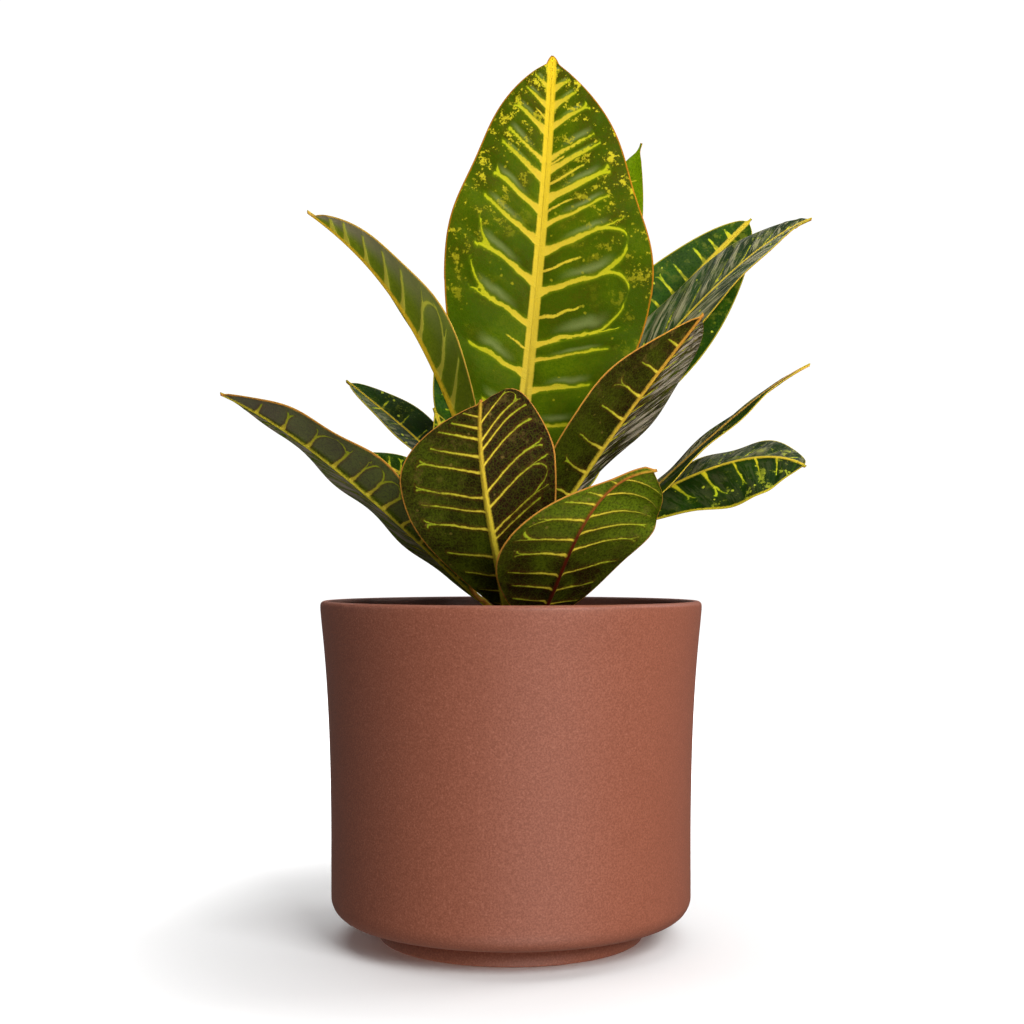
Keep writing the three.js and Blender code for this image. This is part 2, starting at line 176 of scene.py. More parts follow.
def lathed(profile, segments, wobble=None):  # a closed body turned from (radius, height) pairs, both ends on the axis
    angles = np.linspace(0, 2 * np.pi, segments, endpoint=False)
    inner = np.asarray(profile[1:-1], float)
    radius, height = inner[:, :1], inner[:, 1:]
    if wobble:
        radius = radius + wobble(height, angles[None])
    rings = np.stack([radius * np.cos(angles), radius * np.sin(angles), height + 0 * angles], -1)
    points = np.array([(0, 0, profile[0][1]), *rings.reshape(-1, 3), (0, 0, profile[-1][1])], float)
    last = len(points) - 1
    top = last - segments
    faces = []
    for k in range(segments):
        n = (k + 1) % segments
        faces += [(0, 1 + n, 1 + k), (top + k, top + n, last)]
        faces += [(low + k, low + n, low + segments + n, low + segments + k) for low in range(1, top, segments)]
    return points, faces


def arc(centre, radius, start, end, steps):
    turns = np.radians(np.linspace(start, end, steps + 1)).tolist()
    return [(centre[0] + radius * math.cos(turn), centre[1] + radius * math.sin(turn)) for turn in turns]


def tube(path, radii, sides=6):  # a closed round strand along a path
    path = np.asarray(path, float)
    along = unit(np.gradient(path, axis=0))
    side = unit(np.cross(along, (0.31, 0.17, 0.93)))  # any direction that no strand runs in
    over = np.cross(along, side)
    angles = np.linspace(0, 2 * np.pi, sides, endpoint=False)
    ring = side[:, None] * np.cos(angles)[None, :, None] + over[:, None] * np.sin(angles)[None, :, None]
    points = (path[:, None] + ring * np.asarray(radii)[:, None, None]).reshape(-1, 3)
    end = len(points) - sides
    faces = [tuple(range(sides)), tuple(reversed(range(end, len(points))))]
    for start in range(0, end, sides):
        faces += strip(start, start + sides, sides)
    return points, faces


def joined(parts):
    points, faces, start = [], [], 0
    for somePoints, someFaces in parts:
        points.append(somePoints)
        faces += [tuple(start + i for i in face) for face in someFaces]
        start += len(somePoints)
    return np.concatenate(points), faces


def smooth(value, low, high):
    share = np.clip((value - low) / (high - low), 0, 1)
    return share * share * (3 - 2 * share)


def mixed(first, second, share):
    return first + (second - first) * share


def unit(vectors):
    return vectors / np.linalg.norm(vectors, axis=-1, keepdims=True)


# Pot

pot = {
    "height": 123, "rimRadius": 70, "bodyRadius": 66, "flareStart": 15.5, "flareEnd": 119, "flarePower": 3,
    "undersideRadius": 58.5, "footRadius": 48.5, "footHeight": 8, "footEase": 0.8, "footCorner": 0.6,
    "rimRounding": 1.6, "wall": 3.6, "floorTop": 13, "innerCorner": 7, "levels": 22, "segments": 192,
    "clay": shade(165, 97, 73), "clayDark": shade(136, 75, 53), "grain": shade(192, 132, 108),
    "roughness": 0.5, "sandSize": 0.62, "toneSize": 28,
    "paintedShade": shade(46, 26, 18), "paintedShadeShare": 0.7, "paintedShadeInset": 2.5,  # painted shade: colour, strength and inset of the darkening laid on the wall's inner face, where the inside of the pot lies in shade
}


def potOuterRadius(z):
    share = np.clip((z - pot["flareStart"]) / (pot["flareEnd"] - pot["flareStart"]), 0, 1)
    return pot["bodyRadius"] + (pot["rimRadius"] - pot["bodyRadius"]) * share ** pot["flarePower"]


def potFinish(name, paintedShade=0):
    finish = Finish(name, {"Specular IOR Level": 0.5})
    sand = finish.noise(pot["sandSize"], 3, 0.7)
    tone = finish.noise(pot["toneSize"])
    colour = finish.blend(finish.rise(sand, 0.34, 0.7), pot["clayDark"], pot["clay"])
    colour = finish.blend(finish.rise(sand, 0.6, 0.8) * 0.6, colour, pot["grain"])
    colour = finish.blend(finish.rise(tone, 0.3, 0.8) * 0.12, colour, pot["clayDark"])
    # painted shade: the inner wall is darkened to stand in for the shade inside the pot
    if paintedShade:
        colour = finish.blend(paintedShade, colour, pot["paintedShade"])
    roughness = pot["roughness"] + (sand - 0.5) * 0.16
    return finish.feed(colour=colour, rough=roughness, normal=finish.bump(sand * 0.1 + tone * 0.05))


def makePot():
    foot = pot["footRadius"] - pot["footEase"]
    lip = pot["footCorner"]
    corner = pot["bodyRadius"] - pot["undersideRadius"]
    rimRounding = pot["rimRounding"]
    rimCentre = pot["height"] - rimRounding
    levels = np.linspace(pot["flareStart"] + 2.5, rimCentre - 1.5, pot["levels"])  # clear of both roundings
    floorCorner = (pot["bodyRadius"] - pot["wall"] - pot["innerCorner"], pot["floorTop"] + pot["innerCorner"])
    profile = [
        (0, 0), (foot - 6, 0),  # the ring keeps the foot flat up to its edge
        *arc((foot, pot["footEase"]), pot["footEase"], -90, 0, 4),
        (pot["footRadius"], pot["footHeight"] - lip),
        *arc((pot["footRadius"] + lip, pot["footHeight"] - lip), lip, 180, 90, 3),
        *arc((pot["undersideRadius"], pot["footHeight"] + corner), corner, -90, 0, 14),
        *[(float(potOuterRadius(z)), z) for z in levels],
        *arc((pot["rimRadius"] - rimRounding, rimCentre), rimRounding, 0, 90, 8),
        *arc((pot["rimRadius"] - pot["wall"] + rimRounding, rimCentre), rimRounding, 90, 180, 8),
        *[(float(potOuterRadius(z)) - pot["wall"], z) for z in levels[::-1]],
        *arc(floorCorner, pot["innerCorner"], 0, -90, 6), (0, pot["floorTop"]),
    ]
    points, faces = lathed(profile, pot["segments"])
    radius, height = np.hypot(points[:, 0], points[:, 1]), points[:, 2]
    # faces of the inner wall, which get the material with painted shade
    inside = (radius < potOuterRadius(height) - pot["paintedShadeInset"]) & (height > pot["floorTop"] - 0.1)
    materials = [potFinish("matt_terracotta"), potFinish("inner_terracotta_painted_shade", pot["paintedShadeShare"])]
    made = meshObject("clay_pot", points, faces, materials, [inside[list(face)].all() for face in faces])
    standsFor(made, "pot", slot="pot")


makePot()
print("pot done")


# Soil

soil = {
    "level": 109, "mound": 1.2, "lump": 0.55, "coarse": (5.1, 4.3, 1.1), "fine": (2.9, 3.7, 0.6, 0.6),
    "rough": ((6.0, 0.14), (2.6, 0.128), (1.4, 0.088)),  # length and height of small waves, from coarse to fine
    "roughWaves": 7, "roughMost": 0.9,
    "depth": 12, "rings": 90, "segments": 220, "seed": 5, "spread": 60,  # loose bits lie within this radius
    "crumbs": 620, "crumbSize": (0.5, 1.5), "crumbsFrom": 9, "crumbLift": 0.25,  # from this far off the middle
    "chips": 46, "chipSize": (1.2, 2.8), "chipsFrom": 12, "chipLift": 0.5,
    "fibres": 70, "fibreLength": (5, 14), "fibresFrom": 14, "fibreLift": 0.25, "fibreArch": (0.3, 2.8),
    "fibreRadius": 0.16, "fibreWander": 0.22, "fibreSteps": 12,
    "straws": ((-28, -3, 11.5, 1.2), (-29.5, -5, 7.5, -0.9), (36, -8, 9.5, 2.0), (47, -2, 10.2, -2.4),
               (41, 5, 9.6, 2.8)),  # fibres that stand up: x, y, height and sway
    "strawRadius": 0.2, "strawSunk": 0.5, "strawBend": 0.6, "grainSize": 1.3, "fleckSize": 1.9,
    "peat": shade(46, 31, 22), "peatDark": shade(22, 14, 10), "coir": shade(128, 86, 52), "chip": shade(104, 62, 38),
}

stem = {
    "foot": 88, "leanStart": 108, "top": 170, "lean": (-0.9, 3.6), "radiusLow": 4.3, "radiusHigh": 3.1,
    "budLength": 10, "scarHeight": 0.15, "scarSpacing": 6, "knots": 0.12, "rings": 150, "segments": 48,
    "streakSize": 2.2, "scarSize": 2.6, "patchSize": 16,
    "bark": shade(92, 84, 52), "barkDark": shade(58, 46, 30), "barkGreen": shade(88, 104, 48),
}


def soilSurface(x, y):
    coarse, fine = soil["coarse"], soil["fine"]
    lumps = np.sin(x / coarse[0] + coarse[2]) * np.cos(y / coarse[1])
    lumps = lumps + fine[3] * np.sin(x / fine[0] + y / fine[1] + fine[2])
    mound = np.cos(np.pi / 2 * np.minimum(1, np.hypot(x, y) / pot["bodyRadius"]))
    return soil["level"] + soil["mound"] * mound + soil["lump"] * lumps


def soilFinish(name, light, dark):
    finish = Finish(name, {"Specular IOR Level": 0.2})
    grain = finish.noise(soil["grainSize"], 4, 0.65)
    flecks = finish.cells(soil["fleckSize"])
    colour = finish.blend(finish.rise(grain, 0.35, 0.68), dark, light)
    colour = finish.blend(finish.fall(flecks, 0.05, 0.2) * 0.5, colour, soil["chip"])
    return finish.feed(colour=colour, rough=0.82 + grain * 0.2, normal=finish.bump(grain * 0.9 + flecks * 0.3))


def makeSoil(rng):
    inside = float(potOuterRadius(soil["level"])) - pot["wall"] - clearance
    count = soil["segments"]
    angles = np.linspace(0, 2 * np.pi, count, endpoint=False)
    radii = np.linspace(stem["radiusLow"] + clearance, inside, soil["rings"])[:, None]
    x, y = radii * np.cos(angles), radii * np.sin(angles)
    rough = np.zeros_like(x)
    for size, height in soil["rough"]:
        for _ in range(soil["roughWaves"]):
            turn, start = rng.uniform(0, 2 * np.pi, 2)
            rough += height * np.sin((x * math.cos(turn) + y * math.sin(turn)) * 2 * np.pi / size + start)
    z = soilSurface(x, y) + np.clip(rough, -soil["roughMost"], soil["roughMost"])
    top = np.stack([x, y, z], -1).reshape(-1, 3)
    low = np.stack([x[[0, -1]], y[[0, -1]], np.full((2, count), soil["level"] - soil["depth"])], -1).reshape(-1, 3)
    edge, innerLow, outerLow = len(top) - count, len(top), len(top) + count
    faces = strip(innerLow, 0, count) + strip(edge, outerLow, count) + strip(outerLow, innerLow, count)
    for start in range(0, edge, count):
        faces += strip(start, start + count, count)
    peat = soilFinish("damp_peat", soil["peat"], soil["peatDark"])
    made = meshObject("potting_soil", np.concatenate([top, low]), faces, [peat])
    standsFor(made, "soil", slot="soil")


def onSoil(rng, keepOff):
    radius = math.sqrt(rng.uniform((keepOff / soil["spread"]) ** 2, 1)) * soil["spread"]
    turn = rng.uniform(0, 2 * math.pi)
    x, y = radius * math.cos(turn), radius * math.sin(turn)
    return np.array([x, y, float(soilSurface(x, y))])


def crumb(rng, centre, size):  # a rough lump with eight corners
    corners = np.array([(x, y, z) for z in (-1, 1) for y in (-1, 1) for x in (-1, 1)], float)
    corners *= size * rng.uniform(0.55, 1.0, (8, 1)) * rng.uniform(0.5, 1.0, 3)
    faces = [(0, 2, 3, 1), (4, 5, 7, 6), (0, 1, 5, 4), (2, 6, 7, 3), (0, 4, 6, 2), (1, 3, 7, 5)]
    turn = rng.uniform(0, 2 * math.pi)
    spin = np.array([[math.cos(turn), -math.sin(turn), 0], [math.sin(turn), math.cos(turn), 0], [0, 0, 1]])
    return corners @ spin.T + centre, faces


def fibre(rng):  # a strand that wanders over the soil
    start = onSoil(rng, soil["fibresFrom"])
    turn, length = rng.uniform(0, 2 * math.pi), rng.uniform(*soil["fibreLength"])
    count = soil["fibreSteps"]
    steps = np.linspace(0, 1, count)
    turns = turn + np.cumsum(rng.normal(0, soil["fibreWander"], count))
    run = np.cumsum(np.stack([np.cos(turns), np.sin(turns)], 1) * length / count, axis=0)
    x, y = start[0] + run[:, 0], start[1] + run[:, 1]
    inward = np.minimum(1, soil["spread"] / np.hypot(x, y))
    x, y = x * inward, y * inward
    arch = rng.uniform(*soil["fibreArch"]) * np.sin(np.pi * steps * rng.uniform(0.6, 1.0))
    path = np.stack([x, y, soilSurface(x, y) + soil["fibreLift"] + arch], 1)
    return tube(path, soil["fibreRadius"] * (1.05 - steps * 0.6))


def straw(x, y, height, sway):
    steps = np.linspace(0, 1, soil["fibreSteps"])
    rise = soilSurface(x, y) - soil["strawSunk"] + height * steps
    path = np.stack([x + sway * steps ** 2, y + soil["strawBend"] * np.sin(4 * steps), rise], 1)
    return tube(path, soil["strawRadius"] * (1.05 - steps * 0.7))


def scattered(rng, count, size, keepOff, lift):
    return [crumb(rng, onSoil(rng, keepOff) + (0, 0, lift), rng.uniform(*size)) for _ in range(count)]


def makeSoilBits(rng):
    coir = Finish("coir", {"Specular IOR Level": 0.25, "Roughness": 0.8})
    coir.feed(colour=coir.blend(coir.noise(3), soil["coir"], soil["chip"]))
    crumbs = scattered(rng, soil["crumbs"], soil["crumbSize"], soil["crumbsFrom"], soil["crumbLift"])
    strands = [fibre(rng) for _ in range(soil["fibres"])] + [straw(*place) for place in soil["straws"]]
    chips = scattered(rng, soil["chips"], soil["chipSize"], soil["chipsFrom"], soil["chipLift"])
    for name, bits, material in (
        ("soil_crumbs", crumbs, soilFinish("peat_crumbs", soil["chip"], soil["peat"])),
        ("coir_fibres", strands, coir.material),
        ("bark_chips", chips, soilFinish("bark_chip", soil["chip"], soil["peatDark"])),
    ):
        standsFor(meshObject(name, *joined(bits), [material]), slot="soil")


soilRng = np.random.default_rng(soil["seed"])
makeSoil(soilRng)
makeSoilBits(soilRng)
print("soil done")


# Stem

def stemCentre(z):
    z = np.asarray(z, float)
    share = np.maximum(0, (z - stem["leanStart"]) / (stem["top"] - stem["leanStart"]))
    return np.stack([stem["lean"][0] * share, stem["lean"][1] * share, z], -1)


def stemRadius(z):
    z = np.asarray(z, float)
    taper = mixed(stem["radiusLow"], stem["radiusHigh"], (z - stem["foot"]) / (stem["top"] - stem["foot"]))
    scar = np.where(z > stem["leanStart"], stem["scarHeight"] * np.cos(2 * np.pi * z / stem["scarSpacing"]), 0)
    return (taper + scar) * np.sqrt(np.clip((stem["top"] - z) / stem["budLength"], 0, 1))


def stemKnots(z, turn):
    return stem["knots"] * np.sin(3 * turn + z * 0.5) * np.clip((stem["top"] - z) / 20, 0, 1)


def makeStem():
    heights = np.linspace(stem["foot"], stem["top"] - 0.05, stem["rings"])
    profile = [(0, stem["foot"]), *[(float(stemRadius(z)), z) for z in heights], (0, stem["top"])]
    points, faces = lathed(profile, stem["segments"], stemKnots)
    points[:, :2] += stemCentre(points[:, 2])[:, :2]
    finish = Finish("young_bark", {"Specular IOR Level": 0.3})
    streak = finish.noise(stem["streakSize"], 4, 0.6)
    scars = finish.cells(stem["scarSize"], "DISTANCE_TO_EDGE")
    green = finish.rise(finish.noise(stem["patchSize"]), 0.45, 0.65)
    colour = finish.blend(finish.rise(streak, 0.3, 0.7), stem["barkDark"], stem["bark"])
    colour = finish.blend(green, colour, stem["barkGreen"])
    finish.feed(colour=colour, rough=0.6 + streak * 0.3, normal=finish.bump(streak * 0.4 + scars * 0.2))
    made = meshObject("woody_stem", points, faces, [finish.material])
    standsFor(made, "stem", slot="stem")


makeStem()
print("stem done")


# Leaves

leafShape = {  # what every leaf shares
    "stalkHalfWidth": 1.2, "stalkRound": (0.55, 1.0), "stalkEnd": (0.01, 0.09), "intoStem": 0.8,
    "tipHalfWidth": 0.5, "nibWidth": 0.08, "waistSpread": 0.11, "lobeSharpness": 4, "waveOffset": 1.7,
    "thickness": 0.6, "rim": 0.7, "rimShare": 0.4,  # the margin is rounded over rim, or this share of a narrow half
    "ribWidth": (1.5, 0.55), "ribDepth": (1.35, 0.3), "ribRise": 0.3, "ribSpread": 0.8, "ribGroove": (0.9, 0.3),
    "quiltFrom": (1.0, 4.5), "quiltTo": (0.72, 1.0),  # relief grows over these mm, and fades over these shares
    "bulgePower": 0.85, "bulgeMean": 0.45, "bulgePitch": 6,  # its form between two veins, less where they are close
    "spareVeins": 3, "leastPitch": 0.2, "endStagger": 0.05, "forkLength": 0.14, "plainFork": 0.1,
    "stalkRows": 9, "bladeRows": 150, "rowCrowding": 0.25, "columns": 26, "columnCrowding": 1.35,
    "marginColumns": (0.6, 0.3, 0.1, 0.0),  # the last columns, in shares of the rim
}

# A leaf leaves the stem at this height and compass course, with a stalk of this length, and its midrib runs through
# third, twoThirds and tip. base and point are how slim it is before and after its widest place; fold and curl are
# degrees. Pairs are for the left and right half, and one value is for both, but faces is a compass course and a slope,
# finishes are the upper and lower face's, and ribBand, orange and the names with Run go from the blade's foot to tip.
# Side veins start from feet along the blade, slope by the degrees of rise from the first to the last, curve by bend
# and reach out to end. Where one differs it is named by its number, from 0.
plainVeins = {"feet": (.14, .22, .3, .38, .46, .54, .62, .7, .78, .86, .92), "rise": (14, 30), "bend": 1.2, "end": 0.7,
              "width": 0.9, "broken": 0.4, "forks": {3: (.55, .14), 6: (.55, .14)}}
plainLeaf = {  # what a leaf has that doesn't say otherwise
    "widest": 0.5, "base": 1.1, "point": 1, "nib": 0.035, "blunt": 1, "waists": ((0, 0), (0, 0)),
    "lobes": 0, "curl": 0, "wave": 0.8, "waves": 3, "finishes": ("dark", "brown"), "slot": "leaf_dark",
    # paintedSheen is how much painted highlight a half carries: pale reflections laid into its colour
    "quilt": 0.4, "brown": 0.5, "brownRun": (1, 1), "paintedSheen": 0, "paintedSheenRun": (1, 1), "green": 0,
    "ribBand": (1.1, 0.6), "orange": (0.1, 0.2), "mottle": 0.15, "edge": 1, "streaked": 1,
    "veins": plainVeins,
}

leaves = {
    "leaf_top": {
        "height": 155, "compass": 85, "third": (5.5, 17, 201), "twoThirds": (12, 22, 268.5), "tip": (16, 26, 333),
        "stalk": 14, "halves": (36.7, 44.8), "faces": (-90, 5), "widest": (0.61, 0.555), "base": 0.95,
        "point": (0.715, 0.815), "nib": 0.02, "waists": ((0.744, 4), (0.7, 4.3)), "blunt": 0.45,
        "fold": 12, "curl": -12, "wave": 1.4, "waves": 3.2, "phase": 0.4,
        "finishes": ("bright", "olive"), "slot": "leaf_bright", "quilt": (1.5, 1.4), "paintedSheen": (0.75, 0.7),
        "ribBand": (2.7, 1.65), "orange": (0.0, 0.9), "mottle": 1.0, "brown": 0.4, "brownRun": (0.6, 2.2),
        "edge": 1.3,
        "veins": (
            {"feet": (.12, .22, .318, .425, .51, .59, .65, .715, .75, .815, .87, .915), "rise": (14, 43),
             "bend": 0.5, "end": 0.66, "width": 2.1,
             "forks": {3: (.46, (.06, .5)), 4: (.48, (.1, .42)), 6: (.52, .1), 9: (.5, .16)},
             "ends": {2: .76, 3: .72, 4: .66}, "widths": {8: 1.5, 10: 1.4, 11: 1.0},
             "thin": {2: (.7, .34), 9: (.5, .3)}},
            {"feet": (.11, .2, .285, .35, .385, .49, .572, .625, .675, .735, .758, .825, .87, .91), "rise": (2, 36),
             "bend": 1.0, "end": 0.66, "width": 1.9, "loops": {4: (.5, .8), 5: (.5, .8)},
             "forks": {8: (.6, .1), 11: (.6, .12)}, "widths": {3: 1.2, 7: 1.3, 8: 2.5, 10: 1.2},
             "thin": {4: (1.1, .46), 5: (1.0, .36), 7: (.7, .34), 8: (.9, .5), 9: (.6, .3)}},
        ),
    },
    "leaf_behind_top": {
        "height": 149, "compass": 48, "third": (15, 46, 196), "twoThirds": (37, 68, 261.5), "tip": (55, 78, 313.5),
        "stalk": 14, "halves": (22, 19.5), "faces": (-100, 10), "fold": 15, "phase": 1.2,
        "finishes": ("bright", "olive"), "slot": "leaf_bright", "quilt": 0.5, "ribBand": (0.8, -0.6),
        "brown": 0.0, "green": 1.0, "edge": 0.3,
        "veins": {"feet": (.3, .5, .7, .85), "rise": (30, 30), "bend": 0, "end": 0.5, "width": 0.5},
    },
    "leaf_upper_right": {
        "height": 142, "compass": 30, "third": (34.5, 40, 199.5), "twoThirds": (65.5, 56, 242.5),
        "tip": (99, 64, 278.5), "stalk": 16, "halves": (19.5, 24), "faces": (-90, 8), "widest": (0.4, 0.54),
        "base": (0.75, 1.15), "point": (0.65, 0.62), "nib": 0.015, "fold": 12, "wave": 0.9, "phase": 2.6,
        "quilt": 0.5, "ribBand": (1.7, 0.9), "green": 0.45,
        "veins": (
            {"feet": (.2, .27, .34, .4, .465, .53, .595, .66, .72, .8, .855, .91), "rise": (2, 6), "bend": 0.5,
             "end": 0.66, "width": 1.6, "forks": {7: (.45, .14)}, "broken": 0.6},
            {"feet": (.2, .27, .34, .4, .465, .53, .595, .66, .72, .8, .855, .91), "rise": (8, 20), "bend": 1.0,
             "end": 0.6, "width": 0.9, "broken": 0.8},
        ),
    },
    "leaf_upper_right_outer": {
        "height": 134, "compass": 4, "third": (37, 20, 193.5), "twoThirds": (79.5, 27, 243.5),
        "tip": (116.5, 26, 270), "stalk": 16, "halves": (22.3, 26), "faces": (-148, 45), "widest": (0.49, 0.58),
        "base": (1.2, 1.3), "point": (0.72, 1.4), "nib": 0.015, "fold": 10, "phase": 0,
        "quilt": (1.3, 1.2), "paintedSheen": (0.66, 0.7), "ribBand": (1.2, 0.7),
        "veins": {"feet": (.05, .12, .19, .27, .35, .44, .53, .62, .71, .8, .89), "rise": (54, 60), "bend": 2.0,
                  "end": 0.5, "width": 0.8, "broken": 0.8},
    },
    "leaf_front_of_right": {
        "height": 129, "compass": -40, "third": (22.5, -12, 163), "twoThirds": (45, -18, 195),
        "tip": (68.5, -22, 225.5), "stalk": 12, "halves": (23.5, 24), "faces": (143, 28), "widest": (0.68, 0.5),
        "base": (2.4, 1), "point": (0.45, 0.85), "nib": 0.02, "fold": 8, "wave": 0.7, "waves": 2.5, "phase": 1.9,
        "slot": "leaf_brown", "quilt": (1.5, 0.5), "paintedSheen": (1.0, 0.0), "brown": (0.75, 0.9),
        "brownRun": (0.2, 1.2), "ribBand": (1.2, 0.8), "orange": (0.1, 0.9), "edge": 0.8,
        "veins": (
            {"feet": (.14, .2, .26, .32, .38, .44, .5, .56, .62, .68, .74, .8, .86, .92), "rise": (48, 56),
             "bend": 2.0, "end": 0.3, "width": 0.5, "broken": 0.5},
            {"feet": (.14, .24, .335, .43, .55, .645, .745, .86), "rise": (2, -6), "bend": 1.5,
             "end": 0.6, "width": 0.75, "forks": {5: (.45, .16), 2: (.5, .1)}},
        ),
    },
    "leaf_right_narrow": {
        "height": 126, "compass": -28, "third": (37.5, -15, 151), "twoThirds": (76.3, -8, 185.5),
        "tip": (111, 2, 210.5), "stalk": 14, "halves": (11.5, 12.5), "faces": (-167, 51), "widest": 0.45,
        "fold": 0, "wave": 0.9, "waves": 3.5, "phase": 0.8, "finishes": ("dark", "olive"),
        "slot": "leaf_olive", "quilt": 0.8, "paintedSheen": (0.9, 0.0), "ribBand": (2.0, 1.5),
        "orange": (0.5, 0.9), "edge": 0.4, "brown": (0.9, 0.8), "green": 0.3,
        "veins": {"feet": (.2, .4, .6, .8), "rise": (55, 60), "bend": 0, "end": 0.2, "width": 0.4, "broken": 0.8},
    },
    "leaf_right_low": {
        "height": 121, "compass": 8, "third": (37.5, 4, 152), "twoThirds": (77.5, 2, 172.8), "tip": (108, -6, 172),
        "stalk": 14, "halves": (14.5, 20.6), "faces": (-100, 52), "widest": (0.75, 0.68), "base": (4.4, 2.4),
        "point": (0.55, 0.57), "nib": 0.015, "fold": -12, "wave": (1.6, 0.8), "waves": 3.6, "phase": 1.87,
        "quilt": (1.0, 0.5), "paintedSheen": (0.3, 0.06), "ribBand": (0.8, 0.6), "edge": 1.7, "mottle": 0.5, "green": -0.35,
        "veins": (
            {"feet": (.2, .3, .4, .5, .6, .7, .8, .9), "rise": (30, 40), "bend": 1.0, "end": 0.5, "width": 0.5,
             "broken": 0.8},
            {"feet": (.27, .36, .46, .56, .67, .757, .85), "rise": (22, 12), "bend": -1.0, "end": 0.62, "width": 0.95,
             "forks": {2: (.4, .15), 3: (.3, .22), 4: (.4, .15), 5: (.4, .18)},
             "widths": {3: 1.1, 0: .7, 4: .6, 5: .7}, "broken": 0.4},
        ),
    },
    "leaf_upper_left": {
        "height": 148, "compass": 186, "third": (-23.5, -5, 198.5), "twoThirds": (-44.5, -7, 236.3),
        "tip": (-74.5, -8, 265), "stalk": 16, "halves": (21.5, 21), "faces": (21, 43), "widest": (0.4, 0.35),
        "base": (1, 1.15), "point": (0.63, 1.2), "nib": 0.03, "fold": 16, "waves": 2.5, "phase": 0.5,
        "finishes": ("dark", "olive"), "slot": "leaf_olive", "quilt": (0.6, 0.5), "paintedSheen": (0.9, 0.3),
        "paintedSheenRun": (-0.5, 1.1), "ribBand": (1.5, 0.9), "orange": (0.1, 0.3), "brown": (0.25, 0.1), "green": 0.3,
        "streaked": 0.0,
        "veins": (
            {"feet": (.12, .21, .30, .43, .54, .63, .735, .83, .89), "rise": (33, 36), "bend": 3.0, "end": 0.78,
             "width": 2.3, "loops": {2: (.5, .84)}},
            {"feet": (.12, .21, .30, .43, .54, .63, .735, .83, .89), "rise": (25, 32), "bend": 2.0, "end": 0.7,
             "width": 1.8},
        ),
    },
    "leaf_left_small": {
        "height": 134, "compass": 163, "third": (-21, 20, 166.5), "twoThirds": (-40, 28, 187.5),
        "tip": (-64.5, 32, 208), "stalk": 12, "halves": (10.5, 12.5), "faces": (-53, 40), "widest": 0.62,
        "point": 0.6, "nib": 0.02, "fold": 15, "wave": 0.4, "waves": 2.5, "phase": 1.4,
        "quilt": (0.5, 0.4), "paintedSheen": (0.3, 0.0), "ribBand": (0.7, 0.4), "green": -0.25,
        "veins": (
            {"feet": (.2, .32, .44, .56, .68, .8), "rise": (25, 25), "bend": 0, "end": 0.5, "width": 0.45,
             "broken": 0.8},
            {"feet": (.2, .32, .44, .56, .68, .8), "rise": (10, 10), "bend": 0, "end": 0.5, "width": 0.6,
             "broken": 0.7},
        ),
    },
    "leaf_left_long": {
        "height": 117, "compass": 192, "third": (-31.5, -14, 143.5), "twoThirds": (-66.5, -20, 174),
        "tip": (-103.5, -22, 197), "stalk": 12, "halves": (20, 15.5), "faces": (70, 67), "base": (1.6, 0.7),
        "point": (0.82, 0.96), "nib": 0.015, "fold": 9, "wave": 1.1, "waves": 3.5, "phase": 2.9,
        "slot": "leaf_brown", "quilt": (0.5, 0.7), "paintedSheen": (0.34, 1.7), "paintedSheenRun": (0.0, 1.1),
        "brown": (0.8, 0.0), "brownRun": (0.0, 1.2), "green": 1.0, "ribBand": (0.9, 0.6), "orange": (0.0, 0.2),
        "streaked": (0.0, 1.0), "edge": 1.3,
        "veins": (
            {"feet": (.12, .2, .28, .35, .42, .48, .54, .60, .69, .78, .87), "rise": (-8, -8), "bend": 1.0,
             "end": 0.74, "width": 0.95, "loops": {4: (.45, .8), 5: (.45, .8), 7: (.4, .8)},
             "forks": {8: (.45, .15), 9: (.45, .15)}},
            {"feet": (.12, .2, .28, .35, .42, .48, .54, .60, .69, .78, .87), "rise": (50, 55), "bend": 1.0,
             "end": 0.6, "width": 0.4, "broken": 0.6},
        ),
    },
    "leaf_front_left": {
        "height": 116, "compass": -112, "third": (-3.5, -27, 131), "twoThirds": (-8.8, -39, 161),
        "tip": (-10.2, -45, 192.3), "stalk": 3, "halves": (25.3, 30), "faces": (85, 20), "widest": (0.78, 0.72),
        "base": (1, 1.75), "point": (0.36, 0.95), "nib": 0.02, "lobes": (8.5, 0), "fold": 10, "curl": -8,
        "wave": 0.7, "waves": 2.5, "phase": 0.3,
        "slot": "leaf_brown", "brown": (1.6, 0.6), "brownRun": (0.6, 1.3), "ribBand": (1.9, 0.5), "orange": (0.0, 0.6),
        "veins": (
            {"feet": (.2, .28, .35, .42, .48, .505, .595, .652, .745, .80, .835, .90), "rise": (27, 35), "bend": 0.5,
             "end": 0.78, "width": 0.5, "loops": {5: (.6, .88), 10: (.5, .78)},
             "forks": {6: (.7, .14), 7: (.6, .16)}, "widths": {4: .3, 0: .3}},
            {"feet": (.17, .25, .33, .41, .52, .585, .635, .725, .78, .845, .885, .93), "rise": (10, 10), "bend": 0.8,
             "end": 0.74, "width": 0.6, "forks": {7: (.66, .14), 6: (.68, .12), 4: (.68, .12)},
             "widths": {0: .3, 5: .4, 11: .4}},
        ),
    },
    "leaf_front_right": {
        "height": 114.5, "compass": -58, "third": (13.5, -31, 125), "twoThirds": (25.5, -49, 152),
        "tip": (48.5, -57, 167.5), "stalk": 8, "halves": (27, 24), "faces": (110, 30), "widest": (0.7, 0.45),
        "base": (1.25, 1.6), "point": (0.32, 3), "nib": 0.02, "lobes": (4, 0), "fold": 8, "curl": -8,
        "wave": 0.7, "waves": 2.5, "phase": 1.1,
        "slot": "leaf_brown", "brown": (1.2, 1.1), "brownRun": (1.6, -0.4), "ribBand": (0.9, 0.45),
        "orange": (3.5, 0.6), "green": 0.55,
        "veins": (
